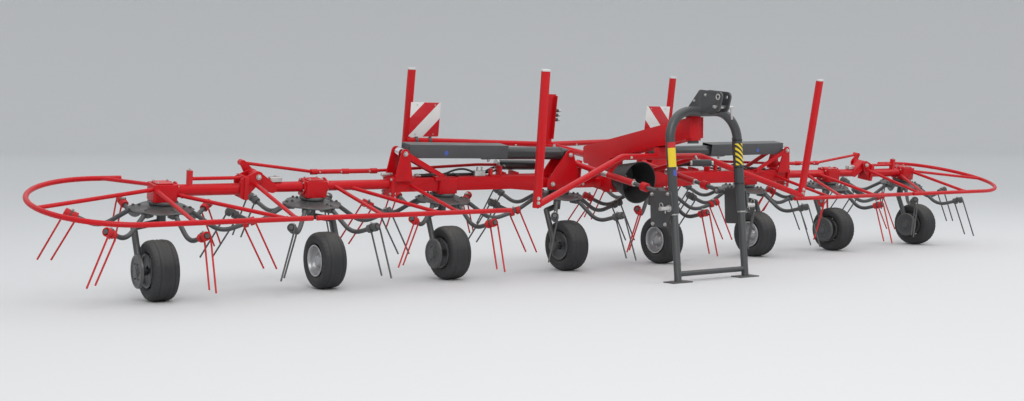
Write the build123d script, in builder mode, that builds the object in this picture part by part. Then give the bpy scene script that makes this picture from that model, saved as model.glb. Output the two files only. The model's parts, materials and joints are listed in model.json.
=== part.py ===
"""Eight-rotor hay tedder, unfolded for work and parked on its stand (millimetres).

X runs across the machine, -Y points to the tractor and +Z is up. The rotors, beams and guard
rails are drawn in the tilted machine frame: its origin is the middle of the cross beam, its Z
is the rotor axes' direction. The headstock, stand, arm and wheels are drawn level.
"""

import os
from math import cos, hypot, radians, sin, sqrt

from build123d import *

# --- Driving dimensions: stance -------------------------------------------------------------
TILT = 9.3  # forward lean of the rotor axes, degrees
BEAM_HEIGHT = 710.0  # middle of the cross beam above the ground
BEAM_SETBACK = 70.0  # middle of the cross beam behind the wheel line's datum

# --- Rotors ----------------------------------------------------------------------------------
CENTRE_PITCH = 1000.0  # between the two inner rotors
ROTOR_PITCH = 1080.0  # between the others
ARM_COUNT = 6
ARM_D = 32.0
HUB_TOP = -85.0  # underside of each gearbox, which the hub turns under
HUB_PLATE_R = 205.0
ARM_ELBOW = (410.0, -262.0)  # radius and height of the arm's bend
ARM_END = (650.0, -150.0)
TINE_D = 10.0
TINE_TIP_Z = -505.0
TINE_TIP_R = (632.0, 712.0)  # inner and outer finger
TINE_LEAD = 28.0  # how far a finger's tip trails its coil
COIL_D = 58.0
COIL_LENGTH = 92.0
RUN_GAP = 0.3  # running clearance of every pin, hub and sliding rod

# --- Wheels and legs --------------------------------------------------------------------------
TYRE_R = 200.0
TYRE_WIDTH = 168.0
RIM_R = 102.0
RIM_FLANGE = 8.0
BEAD_GAP = 0.2
AXLE_SETBACK = -30.0  # wheel axles from the datum, along Y
AXLE_D = 30.0
COLUMN_D = 60.0
COLUMN_LOW = -228.0
LEG_D = 44.0
LEG_GAP = 12.0  # between a tyre's side and its leg
AXLE_PLATE = (176.0, 84.0)  # diameter of the round plates outside some legs and of the nuts
AXLE_PLATE_THICK = 8.0
AXLE_NUT_THICK = 6.0
AXLE_REACH = 56.0  # how far past the wheel's middle the stub axle ends

# --- Beams and folding hinges -----------------------------------------------------------------
WING_PIN = (620.0, -10.0)  # x and z of the wing hinge in the machine frame
TIP_PIN = (3100.0, 90.0)  # x and z of the outer hinge
WING_PIN_D = 36.0
TIP_PIN_D = 30.0
BEAM_W = 100.0
BEAM_TOP = 55.0
BEAM_LOW = -45.0
BEAM_START = 700.0
BEAM_TAPER = (1000.0, 27.0)  # x where the box gets deeper towards the hinge, and by how much
FLANGE_X = 2050.0
TUBE_D = 72.0
GEARBOX = (160.0, 150.0, 50.0)  # length, width, top
GEARBOX_CORNER = 14.0
HINGE_PLATE = (56.0, 68.0)  # inner and outer face of the centre's hinge plates
KNUCKLE_HALF = 52.0

# --- Folding cylinder --------------------------------------------------------------------------
CYL_FOOT = (470.0, 222.0)  # x and z of the pin on the centre frame
CYL_HEAD = (1975.0, 242.0)  # x and z of the pin on the wing's lever
BARREL_D = 100.0
BARREL_LENGTH = 790.0
ROD_D = 45.0
ROD_IN_BARREL = 250.0
COVER_LENGTH = 870.0
COVER = (62.0, 4.0, 66.0, 34.0)  # half width outside, wall, height above and drop below the rod
COVER_SETBACK = 40.0
LEVER_PLATE = (66.0, 76.0)  # inner and outer face of the lever's plates

# --- Outer cylinder and push rod ---------------------------------------------------------------
TIP_CYL_D = 78.0
TIP_CYL_Y = 120.0
TIP_CYL_START = (680.0, 108.0)
TIP_CYL_LENGTH = 360.0
TIP_ROD_D = 24.0
TIP_ROD_IN = 130.0
TIP_ROD_THICK = (0.52, 0.73)  # where the rod's thicker middle starts and ends, as shares
TIP_EYE = (3150.0, 158.0)
TIP_LEVER = (88.0, 100.0)

# --- Guards ------------------------------------------------------------------------------------
RAIL_Y = -718.0
RAIL_Z = -55.0
RAIL_D = 34.0
STAY_D = 27.0
RAIL_X = (1450.0, 2970.0, 3000.0)  # wing rail's ends, outer rail's start
# Each stay's upper end on the beam and its foot along the rail.
WING_STAYS = (((1900, -20, 5), 1892), ((2500, -10, 6), 2483), ((2370, -10, -8), 2040))
TIP_STAYS = (((3680, -10, -20), 3160), ((3124, -54, 45), 3110), ((3800, -50, 15), 3780))
LOOP_CENTRE_X = 4050.0
LOOP_R = 570.0
LOOP_RISE = 3.1  # degrees, from front to rear in the machine frame
LOOP_END_X = 3880.0
BAR_W = 60.0
FRONT_BAR = (1344.0, 1381.0, -877.0, 9.0, 970.0)  # x foot, x top, y, z foot, z top
REAR_BAR = (1405.0, 1401.0, 912.0, 121.0, 767.0)
GUARD_D = 48.0
GUARD_BEND = (401.0, -623.0, 302.0)
REAR_TUBE = (138.0, 908.0)  # height and y of the rear tube's middle
PANEL = (282.0, 4.0)
PANEL_LOW = 209.0

# --- Arm, headstock and stand (level frame, y from the datum) ---------------------------------
ARM_W = 130.0
ARM_FRONT = (-986.0, BEAM_HEIGHT + 342, BEAM_HEIGHT + 499)  # y, underside, top
ARM_REAR = (310.0, BEAM_HEIGHT + 131, BEAM_HEIGHT + 273)
ARM_SEAT = (-40.0, 250.0, BEAM_HEIGHT + 30)  # y of both ends and underside of the arm's block
PIVOT_Y = -945.0
PIVOT_D = 50.0
PIVOT_BOSS = (112.0, ARM_FRONT[1] - 20, ARM_FRONT[2] + 5)  # diameter, underside, top
ARCH_D = 70.0
ARCH_HALF = 340.0
ARCH_FOOT = (-1118.0, 500.0)  # y and z of the legs' lower ends
ARCH_LEAN = 5.3
ARCH_TOP = PIVOT_BOSS[2] + 36  # middle of the arch's top tube
ARCH_BEND = 210.0
STAND_D = 54.0
STAND_IN = 110.0
STAND_TRAVEL = 330.0
FOOT = (190.0, 110.0, 8.0)
CROSSBAR_Z = 61.0
CROSSBAR_D = 40.0
SIDE_PLATE = (373.0, 385.0)  # inner and outer face of the plates on the arch's legs
LINK_PIN = (28.6, 540.0, 92.0)  # diameter, height above ground, length
TOP_PIN_D = 25.4
TOP_EARS = (35.0, 50.0)  # inner and outer face of the top-link ears
TOP_HOLE = (-1262.0, ARCH_TOP + 102)
TOP_HOLE_D = 25.9
TOP_EAR_R = 38.0
TOP_PIN = (-1240.0, ARCH_TOP + 30)
DAMPER_REAR = (350.0, 46.0, BEAM_HEIGHT + 132)
DAMPER_FRONT = (300.0, -914.0, 650.0)
DAMPER_D = (50.0, 28.0)
DAMPER_BARREL = 0.56  # the barrel's share of the length
DAMPER_EYE = 56.0

# --- Power input (machine frame) ---------------------------------------------------------------
PTO_Z = 50.0
PTO_FACE = -175.0
PTO_CONE = (112.0, 170.0, 215.0, 4.0)  # small and large radius, length, wall
PTO_SHAFT = (34.9, 150.0)

COS, SIN = cos(radians(TILT)), sin(radians(TILT))
# The origin lies half way between the top-link ears' front and the rear tube's back.
REACH_FRONT = TOP_HOLE[0] - TOP_EAR_R
REACH_REAR = BEAM_SETBACK + REAR_TUBE[1] * COS - REAR_TUBE[0] * SIN + GUARD_D / 2
ORIGIN_SHIFT = -(REACH_FRONT + REACH_REAR) / 2
MACHINE = Location((0, BEAM_SETBACK + ORIGIN_SHIFT, BEAM_HEIGHT), (TILT, 0, 0))
LEVEL = Location((0, ORIGIN_SHIFT, 0))
ROTOR_X = [CENTRE_PITCH / 2 + ROTOR_PITCH * i for i in range(4)]
UP = (Align.CENTER, Align.CENTER, Align.MIN)
DOWN = (Align.CENTER, Align.CENTER, Align.MAX)
SIDES = (("L", -1), ("R", 1))
LINK_PIN_PLACE = (
    ARCH_FOOT[0] + (LINK_PIN[1] - ARCH_FOOT[1]) * sin(radians(ARCH_LEAN)), LINK_PIN[1],
)

# One row a rotor, from -X to +X: centre, first arm's angle, wheel's offset, leg's side, and
# whether a round plate covers the leg's end.
ROTORS = [
    (-ROTOR_X[3], 38, -70.0, -1, True),
    (-ROTOR_X[2], 52, 40.0, 1, False),
    (-ROTOR_X[1], 38, -17.0, -1, True),
    (-ROTOR_X[0], 52, 0.0, -1, False),
    (ROTOR_X[0], 38, 0.0, 1, False),
    (ROTOR_X[1], 52, 17.0, 1, False),
    (ROTOR_X[2], 38, -40.0, -1, True),
    (ROTOR_X[3], 52, 70.0, -1, True),
]


def level_to_machine(x, y, z):
    """Give a point of the level frame in the tilted machine frame."""
    dy, dz = y - BEAM_SETBACK, z - BEAM_HEIGHT
    return (x, dy * COS + dz * SIN, dz * COS - dy * SIN)


def machine_to_level(x, y, z):
    """Give a point of the tilted machine frame in the level frame."""
    return (x, BEAM_SETBACK + y * COS - z * SIN, BEAM_HEIGHT + y * SIN + z * COS)


def save(part, name, place):
    """Put a finished part in its place, label it and write it."""
    placed = part.moved(place)
    placed.label = name
    export_step(placed, f"parts/{name}.step")


def bar(start, end, diameter, mode=Mode.ADD):
    """Add a round bar between two points, given as tuples or vectors."""
    axis = Vector(*end) - Vector(*start)
    with Locations(Plane(origin=start, z_dir=axis)):
        Cylinder(diameter / 2, axis.length, align=UP, mode=mode)


def block(low, high, mode=Mode.ADD):
    """Add a box between its lowest and highest corner."""
    with Locations([Vector(*low)]):
        Box(*(h - l for l, h in zip(low, high)), align=(Align.MIN,) * 3, mode=mode)


def plate(discs, y_low, y_high, holes=(), mode=Mode.ADD):
    """Add an upright plate across Y: the hull of discs (x, z, r), with round holes in it."""
    with BuildSketch(Plane.XZ.offset(-y_low)) as outline:
        with BuildLine():
            for x, z, r in discs:
                CenterArc((x, z), r, 0, 360)
        make_hull()
        for x, z, r in holes:
            with Locations((x, z)):
                Circle(r, mode=Mode.SUBTRACT)
    extrude(outline.sketch, amount=y_low - y_high, mode=mode)


def upright(discs, x_low, x_high, holes=()):
    """Add an upright plate along the machine: the hull of discs (y, z, r), with round holes."""
    with BuildSketch(Plane.YZ.offset(x_low)) as outline:
        with BuildLine():
            for y, z, r in discs:
                CenterArc((y, z), r, 0, 360)
        make_hull()
        for y, z, r in holes:
            with Locations((y, z)):
                Circle(r, mode=Mode.SUBTRACT)
    extrude(outline.sketch, amount=x_high - x_low)


def gearbox(x, y_half=GEARBOX[1] / 2):
    """Add a rotor gearbox: a housing with a round neck that the rotor hub turns under."""
    length, _, top = GEARBOX
    with Locations((x, 0, HUB_TOP)):
        Cylinder(75, 30, align=UP)
    with BuildSketch(Plane.XY.offset(HUB_TOP + 22)) as housing:
        with Locations((x, 0)):
            RectangleRounded(length, 2 * y_half, GEARBOX_CORNER)
    extrude(housing.sketch, amount=top - HUB_TOP - 22)


def rotor_hub(x, first_angle):
    """Make a rotor's hub and arms."""
    with BuildPart() as hub:
        with BuildSketch(Plane.XZ):
            with BuildLine():
                bore = COLUMN_D / 2 + RUN_GAP
                top = HUB_TOP - RUN_GAP
                Polyline(
                    (bore, top), (75, top), (92, -100), (HUB_PLATE_R, -113), (HUB_PLATE_R, -125),
                    (86, -122), (60, -150), (bore, -150), close=True,
                )
            make_face()
        revolve(axis=Axis.Z)
        for i in range(ARM_COUNT):
            turn = radians(first_angle + 360 / ARM_COUNT * i)
            points = [
                (r * cos(turn), r * sin(turn), z) for r, z in ((170, -122), ARM_ELBOW, ARM_END)
            ]
            bar(points[0], points[1], ARM_D)
            bar(points[1], points[2], ARM_D)
            with Locations(points[1]):
                Sphere(ARM_D / 2)
    return hub.part.moved(Location((x, 0, 0)))


def rotor_tines(x, first_angle):
    """Make a rotor's spring tines: a coil sleeve and two fingers on each arm."""
    run = Vector(ARM_END[0] - ARM_ELBOW[0], 0, ARM_END[1] - ARM_ELBOW[1]).normalized()
    with BuildPart() as tines:
        for i in range(ARM_COUNT):
            turn = first_angle + 360 / ARM_COUNT * i
            arm = Plane.XY.rotated((0, 0, turn))
            end = Vector(ARM_END[0], 0, ARM_END[1])
            start = end - run * COIL_LENGTH
            with BuildSketch(Plane(arm.from_local_coords(start), z_dir=arm.from_local_coords(run))):
                Circle(COIL_D / 2)
                Circle(ARM_D / 2 + RUN_GAP, mode=Mode.SUBTRACT)
            extrude(amount=COIL_LENGTH)
            for tip_r, share in zip(TINE_TIP_R, (0.06, 0.94)):
                root = start + run * (COIL_LENGTH * share) + Vector(0, COIL_D * 0.4, 0)
                tip = Vector(tip_r, COIL_D * 0.4 - TINE_LEAD, TINE_TIP_Z)
                axis = arm.from_local_coords(tip) - arm.from_local_coords(root)
                with BuildSketch(Plane(arm.from_local_coords(root), z_dir=axis)):
                    RegularPolygon(TINE_D / 2, 6)
                extrude(amount=axis.length)
    return tines.part.moved(Location((x, 0, 0)))


def tyre(x):
    """Make a tyre: bulging walls, rounded shoulders and a flat tread."""
    half = TYRE_WIDTH / 2
    wall = [
        (half - 2 * RIM_FLANGE, RIM_R + BEAD_GAP), (half - 2, RIM_R + 24), (half, RIM_R + 48),
        (half - 4, TYRE_R - 22), (half - 17, TYRE_R - 6), (half - 34, TYRE_R),
    ]
    with BuildPart() as ring:
        with BuildSketch(Plane.XZ):
            with BuildLine():
                Polyline(*wall, *((-across, r) for across, r in reversed(wall)), close=True)
            make_face()
        revolve(axis=Axis.X)
    return ring.part.moved(Location((x, AXLE_SETBACK, TYRE_R)))


def rim(x, side):
    """Make a wheel's rim, disc and hub; the disc is set towards the open side."""
    bead = TYRE_WIDTH / 2 - RIM_FLANGE
    with BuildPart() as wheel:
        with BuildSketch(Plane.XZ):
            with BuildLine():
                Polyline(
                    (-bead - 6, RIM_R + 8), (-bead, RIM_R + 8), (-bead, RIM_R), (bead, RIM_R),
                    (bead, RIM_R + 8), (bead + 6, RIM_R + 8), (bead + 6, RIM_R - 6),
                    (30, RIM_R - 8), (22, 70), (30, 52), (48, 38), (60, AXLE_D / 2 + RUN_GAP),
                    (-44, AXLE_D / 2 + RUN_GAP), (-44, 30), (14, 30), (14, RIM_R - 8),
                    (-bead - 6, RIM_R - 6), close=True,
                )
            make_face()
        revolve(axis=Axis.X)
    turned = wheel.part if side < 0 else wheel.part.rotate(Axis.Z, 180)
    return turned.moved(Location((x, AXLE_SETBACK, TYRE_R)))


def leg(x, offset, side, plated):
    """Add a column through the rotor hub, the leg beside the wheel and its stub axle."""
    axle = level_to_machine(x + offset, AXLE_SETBACK, TYRE_R)
    beside = axle[0] + side * (TYRE_WIDTH / 2 + LEG_GAP + LEG_D / 2)
    with Locations((x, 0, HUB_TOP)):
        Cylinder(COLUMN_D / 2, HUB_TOP - COLUMN_LOW, align=DOWN)
    foot = (x, 0, COLUMN_LOW + LEG_D / 2)
    knee = (beside, -25, COLUMN_LOW - 5)
    ankle = (beside, axle[1], axle[2])
    bar(foot, knee, LEG_D)
    bar(knee, ankle, LEG_D)
    with Locations(knee):
        Sphere(LEG_D / 2)
    bar(ankle, (axle[0] - side * AXLE_REACH, axle[1], axle[2]), AXLE_D)
    bar(ankle, (beside - side * (LEG_D / 2 + LEG_GAP - 2), axle[1], axle[2]), 2 * AXLE_D)
    face = beside + side * LEG_D / 2
    plate_d, nut_d = AXLE_PLATE
    bar(ankle, (face + side * AXLE_NUT_THICK, axle[1], axle[2]), nut_d)
    if plated:
        back = face - side * AXLE_PLATE_THICK
        bar((back, axle[1], axle[2]), (face, axle[1], axle[2]), plate_d)


def wing_beam(side):
    """Make a wing's beam with its gearboxes, lever tower, guard rail and stays."""
    pin_x, pin_z = WING_PIN
    with BuildPart() as wing:
        plate([(pin_x, pin_z, 35)], -KNUCKLE_HALF, KNUCKLE_HALF)
        block((pin_x, -40, pin_z - 35), (BEAM_START, 40, pin_z + 35))
        with BuildSketch(Plane.XZ.offset(BEAM_W / 2)):
            with BuildLine():
                Polyline(
                    (BEAM_START, BEAM_TOP), (FLANGE_X, BEAM_TOP), (FLANGE_X, BEAM_LOW),
                    (BEAM_TAPER[0], BEAM_LOW), (BEAM_START, BEAM_LOW - BEAM_TAPER[1]), close=True,
                )
            make_face()
        extrude(amount=-BEAM_W)
        block((FLANGE_X - 14, -70, -95), (FLANGE_X + 14, 70, BEAM_TOP + 10))
        gearbox(ROTOR_X[1])
        gearbox(ROTOR_X[2])
        bar((FLANGE_X, 0, 6), (ROTOR_X[2], 0, 6), TUBE_D)
        bar((ROTOR_X[2], 0, 6), (TIP_PIN[0] - 100, 0, 6), TUBE_D)
        plate([(TIP_PIN[0] - 118, 6, 34), (*TIP_PIN, 36)], -42, 42)
        for inner, outer in (LEVER_PLATE, (-LEVER_PLATE[1], -LEVER_PLATE[0])):
            plate(
                [(*CYL_HEAD, 34), (1915, BEAM_TOP + 22, 12), (2030, BEAM_TOP + 22, 12)],
                inner, outer,
            )
            plate([(*CYL_HEAD, 20), (1640, BEAM_TOP + 16, 16)], inner, outer)
        block((1903, -LEVER_PLATE[1], BEAM_TOP - 15), (2042, LEVER_PLATE[1], BEAM_TOP + 12))
        block((1624, -LEVER_PLATE[1], BEAM_TOP - 15), (1700, LEVER_PLATE[1], BEAM_TOP + 12))
        for x in (880, 1000):
            block((x, 30, 20), (x + 26, TIP_CYL_Y + 20, TIP_CYL_START[1] - TIP_CYL_D / 2))
        bar((RAIL_X[0], RAIL_Y, RAIL_Z), (RAIL_X[1], RAIL_Y, RAIL_Z), RAIL_D)
        for top, rail_x in WING_STAYS:
            bar(top, (rail_x, RAIL_Y, RAIL_Z), STAY_D)
        for (x, z), half, pin_d in ((WING_PIN, KNUCKLE_HALF, WING_PIN_D), (TIP_PIN, 60, TIP_PIN_D)):
            bar((x, -half, z), (x, half, z), pin_d + 2 * RUN_GAP, mode=Mode.SUBTRACT)
    return wing.part if side > 0 else wing.part.mirror(Plane.YZ)


def tip_beam(side):
    """Make the outer beam: hinge ears and pin, gearbox, rail, round guard loop and stays."""
    pin_x, pin_z = TIP_PIN
    x = ROTOR_X[3]
    loop = Plane(origin=(0, RAIL_Y, RAIL_Z), x_dir=(1, 0, 0),
                 z_dir=(0, -sin(radians(LOOP_RISE)), cos(radians(LOOP_RISE))))
    rear = loop.from_local_coords(Vector(LOOP_CENTRE_X - 40, 2 * LOOP_R, 0))
    side_y = 450.0
    side_x = LOOP_CENTRE_X + sqrt(LOOP_R**2 - (LOOP_R - side_y) ** 2)
    outer = loop.from_local_coords(Vector(side_x, side_y, 0))
    with BuildPart() as tip:
        for inner, outer_face in ((47, 61), (-61, -47)):
            plate(
                [(pin_x, pin_z, 38), (pin_x + 100, 60, 26), (pin_x + 100, -40, 22)],
                inner, outer_face,
            )
        block((pin_x + 70, -75, -64), (pin_x + 100, 75, 92))
        bar((pin_x, -66, pin_z), (pin_x, TIP_LEVER[1], pin_z), TIP_PIN_D)
        plate([(pin_x, pin_z, 34), (*TIP_EYE, 22)], *TIP_LEVER)
        bar((pin_x + 100, 0, 0), (x, 0, 0), 80)
        gearbox(x)
        bar((pin_x + 100, 0, 76), (x - 180, 0, 76), 25)
        block((x - 195, -20, 20), (x - 165, 20, 132))
        with BuildLine(loop) as guard:
            near, far = (LOOP_CENTRE_X, 0), (LOOP_CENTRE_X, 2 * LOOP_R)
            Line((RAIL_X[2], 0), near)
            ThreePointArc(near, (LOOP_CENTRE_X + LOOP_R, LOOP_R), far)
            Line(far, (LOOP_END_X, 2 * LOOP_R))
        with BuildSketch(Plane(origin=guard.line @ 0, z_dir=guard.line % 0)):
            Circle(RAIL_D / 2)
        sweep(path=guard.line)
        for top, rail_x in TIP_STAYS:
            bar(top, (rail_x, RAIL_Y, RAIL_Z), STAY_D)
        bar((3790, -40, 20), outer, STAY_D)
        bar((3780, 50, 30), rear, STAY_D)
    return tip.part if side > 0 else tip.part.mirror(Plane.YZ)


def cylinder_axis():
    """Give the folding cylinder's foot, direction and length in the machine frame."""
    (x0, z0), (x1, z1) = CYL_FOOT, CYL_HEAD
    length = hypot(x1 - x0, z1 - z0)
    return Vector(x0, 0, z0), Vector((x1 - x0) / length, 0, (z1 - z0) / length), length


def fold_barrel(side):
    """Make the folding cylinder's barrel with its eye on the centre frame's pin."""
    foot, along, _ = cylinder_axis()
    mouth = foot + along * BARREL_LENGTH
    eye_half = HINGE_PLATE[0] - 1
    with BuildPart() as barrel:
        bar(foot + along * 50, mouth, BARREL_D)
        bar((foot.X, -eye_half + 10, foot.Z), (foot.X, eye_half - 10, foot.Z), 76)
        bar(foot, foot + along * 60, 60)
        bar((foot.X, -eye_half, foot.Z), (foot.X, eye_half, foot.Z), WING_PIN_D + 2 * RUN_GAP,
            mode=Mode.SUBTRACT)
        bar(foot + along * 110, mouth, ROD_D + 2 * RUN_GAP, mode=Mode.SUBTRACT)
    return barrel.part if side > 0 else barrel.part.mirror(Plane.YZ)


def fold_rod(side):
    """Make the folding cylinder's rod with its eye between the lever's plates."""
    foot, along, length = cylinder_axis()
    head = foot + along * length
    eye_half = LEVER_PLATE[0] - RUN_GAP
    with BuildPart() as rod:
        bar(foot + along * (BARREL_LENGTH - ROD_IN_BARREL), head, ROD_D)
        bar((head.X, -30, head.Z), (head.X, 30, head.Z), 66)
        bar((head.X, -eye_half, head.Z), (head.X, eye_half, head.Z), 30)
    return rod.part if side > 0 else rod.part.mirror(Plane.YZ)


def cylinder_cover(side):
    """Make the folded sheet channel that rides over the rod and shields the barrel."""
    foot, along, length = cylinder_axis()
    half, wall, height, drop = COVER
    end = Plane(origin=foot + along * (length - COVER_SETBACK), x_dir=(0, -1, 0), z_dir=-along)
    with BuildPart() as cover:
        with BuildSketch(end):
            with Locations((0, -drop)):
                Rectangle(2 * half, height + drop, align=(Align.CENTER, Align.MIN))
                Rectangle(
                    2 * (half - wall), height + drop - wall, align=(Align.CENTER, Align.MIN),
                    mode=Mode.SUBTRACT,
                )
        extrude(amount=COVER_LENGTH)
        with BuildSketch(end):
            with Locations((0, -drop)):
                Rectangle(2 * half, height + drop, align=(Align.CENTER, Align.MIN))
            Circle(ROD_D / 2 + RUN_GAP, mode=Mode.SUBTRACT)
        extrude(amount=wall)
    return cover.part if side > 0 else cover.part.mirror(Plane.YZ)


def tip_cylinder(side):
    """Make the outer section's cylinder, seated on the wing beam's two brackets."""
    start, along, _ = push_rod_axis()
    mouth = start + along * TIP_CYL_LENGTH
    with BuildPart() as barrel:
        bar(start, mouth, TIP_CYL_D)
        bar(start + along * 60, mouth, TIP_ROD_D + 2 * RUN_GAP, mode=Mode.SUBTRACT)
    return barrel.part if side > 0 else barrel.part.mirror(Plane.YZ)


def push_rod_axis():
    """Give the push rod's line from the outer cylinder's inner end to the tip lever's eye."""
    start = Vector(TIP_CYL_START[0], TIP_CYL_Y, TIP_CYL_START[1])
    run = Vector(TIP_EYE[0] - start.X, 0, TIP_EYE[1] - start.Z)
    return start, run.normalized(), run.length


def tip_rod(side):
    """Make the push rod from the outer cylinder along the wing to the tip's lever."""
    start, along, length = push_rod_axis()
    eye_low = TIP_LEVER[1] + RUN_GAP
    with BuildPart() as rod:
        bar(start + along * (TIP_CYL_LENGTH - TIP_ROD_IN), start + along * length, TIP_ROD_D)
        bar((TIP_EYE[0], eye_low, TIP_EYE[1]), (TIP_EYE[0], TIP_CYL_Y + 22, TIP_EYE[1]), 44)
        thick = [start + along * (length * share) for share in TIP_ROD_THICK]
        for knot in thick:
            bar(knot - along * 28, knot + along * 28, 40)
        bar(*thick, 34)
    return rod.part if side > 0 else rod.part.mirror(Plane.YZ)


def centre_frame():
    """Make the middle: cross box, hinge plates and pins, gearbox block, arm and its boss."""
    pin_x, pin_z = WING_PIN
    front_y, front_low, front_top = ARM_FRONT
    rear_y, rear_low, rear_top = ARM_REAR
    with BuildPart() as frame:
        block((-390, -HINGE_PLATE[0], -50), (390, HINGE_PLATE[0], 20))
        block((-118, -175, -70), (118, 60, 78))
        for _, side in SIDES:
            gearbox(side * ROTOR_X[0], HINGE_PLATE[0])
            for low, high in (HINGE_PLATE, (-HINGE_PLATE[1], -HINGE_PLATE[0])):
                plate(
                    [(side * pin_x, pin_z, 48), (side * CYL_FOOT[0], CYL_FOOT[1], 38),
                     (side * 395, -32, 18), (side * 395, 90, 18)], low, high,
                )
            for x, z in (WING_PIN, CYL_FOOT):
                bar((side * x, -76, z), (side * x, 76, z), WING_PIN_D)
            eye_x = side * DAMPER_REAR[0]
            low_x, high_x = sorted(
                (eye_x - side * (DAMPER_EYE / 2 + RUN_GAP), eye_x - side * (DAMPER_EYE / 2 + 12))
            )
            block((low_x, -30, 0), (high_x, 30, 165))
    with BuildPart() as arm:
        with BuildSketch(Plane.YZ.offset(-ARM_W / 2)):
            with BuildLine():
                Polyline(
                    (front_y, front_low), (front_y, front_top), (rear_y, rear_top),
                    (rear_y, rear_low), (rear_y - 60, rear_low - 5), close=True,
                )
            make_face()
        extrude(amount=ARM_W)
        boss_d, boss_low, boss_top = PIVOT_BOSS
        with Locations((0, PIVOT_Y, boss_low)):
            Cylinder(boss_d / 2, boss_top - boss_low, align=UP)
        seat_front, seat_rear, seat_low = ARM_SEAT
        block((-ARM_W / 2, seat_front, seat_low), (ARM_W / 2, seat_rear, (rear_low + rear_top) / 2))
        with Locations((0, PIVOT_Y, boss_low)):
            Cylinder(PIVOT_D / 2 + RUN_GAP, boss_top - boss_low, align=UP, mode=Mode.SUBTRACT)
    return frame.part.moved(MACHINE) + arm.part.moved(LEVEL)


def post(foot, top, width, depth):
    """Add a flat bar, upright or nearly so, between the middles of its ends."""
    axis = Vector(*top) - Vector(*foot)
    with BuildSketch(Plane(origin=foot, x_dir=(1, 0, 0), z_dir=axis)) as section:
        Rectangle(width, depth)
    extrude(section.sketch, amount=axis.length)


def guards():
    """Make the front guard and the rear marker carrier, both fixed to the centre."""
    foot_x, top_x, y, z_foot, z_top = FRONT_BAR
    bend_x, bend_y, bend_z = GUARD_BEND
    with BuildPart() as front:
        with BuildLine() as path:
            FilletPolyline(
                (-foot_x, y, z_foot), (-bend_x, bend_y, bend_z), (bend_x, bend_y, bend_z),
                (foot_x, y, z_foot), radius=110,
            )
        with BuildSketch(Plane(origin=path.line @ 0, z_dir=path.line % 0)):
            Circle(GUARD_D / 2)
        sweep(path=path.line)
        for _, side in SIDES:
            post((side * foot_x, y, z_foot - 15), (side * top_x, y, z_top), BAR_W, 26)
            bar((side * 385, bend_y, bend_z - 4), (side * 190, -10, 10), 38)
        block((-400, -70, -60), (400, 60, 20 + RUN_GAP), mode=Mode.SUBTRACT)
    low, rear_y = REAR_TUBE
    with BuildPart() as rear:
        foot_x, top_x, y, z_foot, z_top = REAR_BAR
        for _, side in SIDES:
            post((side * foot_x, y, z_foot), (side * top_x, y, z_top), BAR_W, 26)
            bar((0, rear_y, low), (side * foot_x, y, low + 41), GUARD_D)
        post((0, rear_y, low - 10), (0, rear_y - 2, 581), 120, 12)
    with BuildPart() as links:
        rear_end = Vector(0, ARM_REAR[0] + RUN_GAP, 0)
        block((-62, rear_end.Y, ARM_REAR[1] + 10), (62, rear_end.Y + 12, ARM_REAR[2] - 8))
        tube_end = machine_to_level(0, rear_y, low)
        bar((0, rear_end.Y + 6, ARM_REAR[1] + 64), tube_end, 58)
    with BuildPart() as hanger:
        cross = machine_to_level(0, bend_y, bend_z)
        arm_slope = (ARM_FRONT[1] - ARM_REAR[1] + 5) / (ARM_FRONT[0] - ARM_REAR[0] + 60)
        underside = ARM_FRONT[1] + arm_slope * (cross[1] + 25 - ARM_FRONT[0])
        block((-60, cross[1] - 25, cross[2]), (60, cross[1] + 25, underside - RUN_GAP))
    return front.part.moved(MACHINE) + hanger.part.moved(LEVEL) + (
        rear.part.moved(MACHINE) + links.part.moved(LEVEL)
    )


def warning_panels():
    """Make the two square marker panels on the rear bars."""
    size, thick = PANEL
    foot_x, _, y, _, _ = REAR_BAR
    face = y - 13
    outer = foot_x - 13
    with BuildPart() as panels:
        for _, side in SIDES:
            low_x, high_x = sorted((side * outer, side * (outer - size)))
            block((low_x, face - thick, PANEL_LOW), (high_x, face, PANEL_LOW + size))
    return panels.part


def wheel_legs(numbers):
    """Make the columns and legs of some rotors, by their place in the table of rotors."""
    with BuildPart() as legs:
        for number in numbers:
            x, _, offset, side, plated = ROTORS[number]
            leg(x, offset, side, plated)
    return legs.part


def pto_guard():
    """Make the open cone around the power input."""
    small, large, length, wall = PTO_CONE
    back = PTO_FACE - RUN_GAP
    with BuildPart() as cone:
        with BuildSketch(Plane.YZ):
            with BuildLine():
                Polyline(
                    (back, PTO_Z + 36), (back, PTO_Z + small), (back - length, PTO_Z + large),
                    (back - length, PTO_Z + large - wall), (back - wall, PTO_Z + small - wall),
                    (back - wall, PTO_Z + 36), close=True,
                )
            make_face()
        revolve(axis=Axis((0, 0, PTO_Z), (0, 1, 0)))
    return cone.part


def pto_shaft():
    """Make the power input stub."""
    diameter, length = PTO_SHAFT
    start = PTO_FACE - RUN_GAP
    with BuildPart() as shaft:
        bar((0, start, PTO_Z), (0, start - 30, PTO_Z), 62)
        bar((0, start, PTO_Z), (0, start - length, PTO_Z), diameter)
    return shaft.part


def arch_plane():
    """Give the plane of the headstock's arch, with its origin between the legs' lower ends."""
    lean = radians(ARCH_LEAN)
    return Plane(origin=(0, *ARCH_FOOT), x_dir=(1, 0, 0), z_dir=(0, -cos(lean), sin(lean)))


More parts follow.
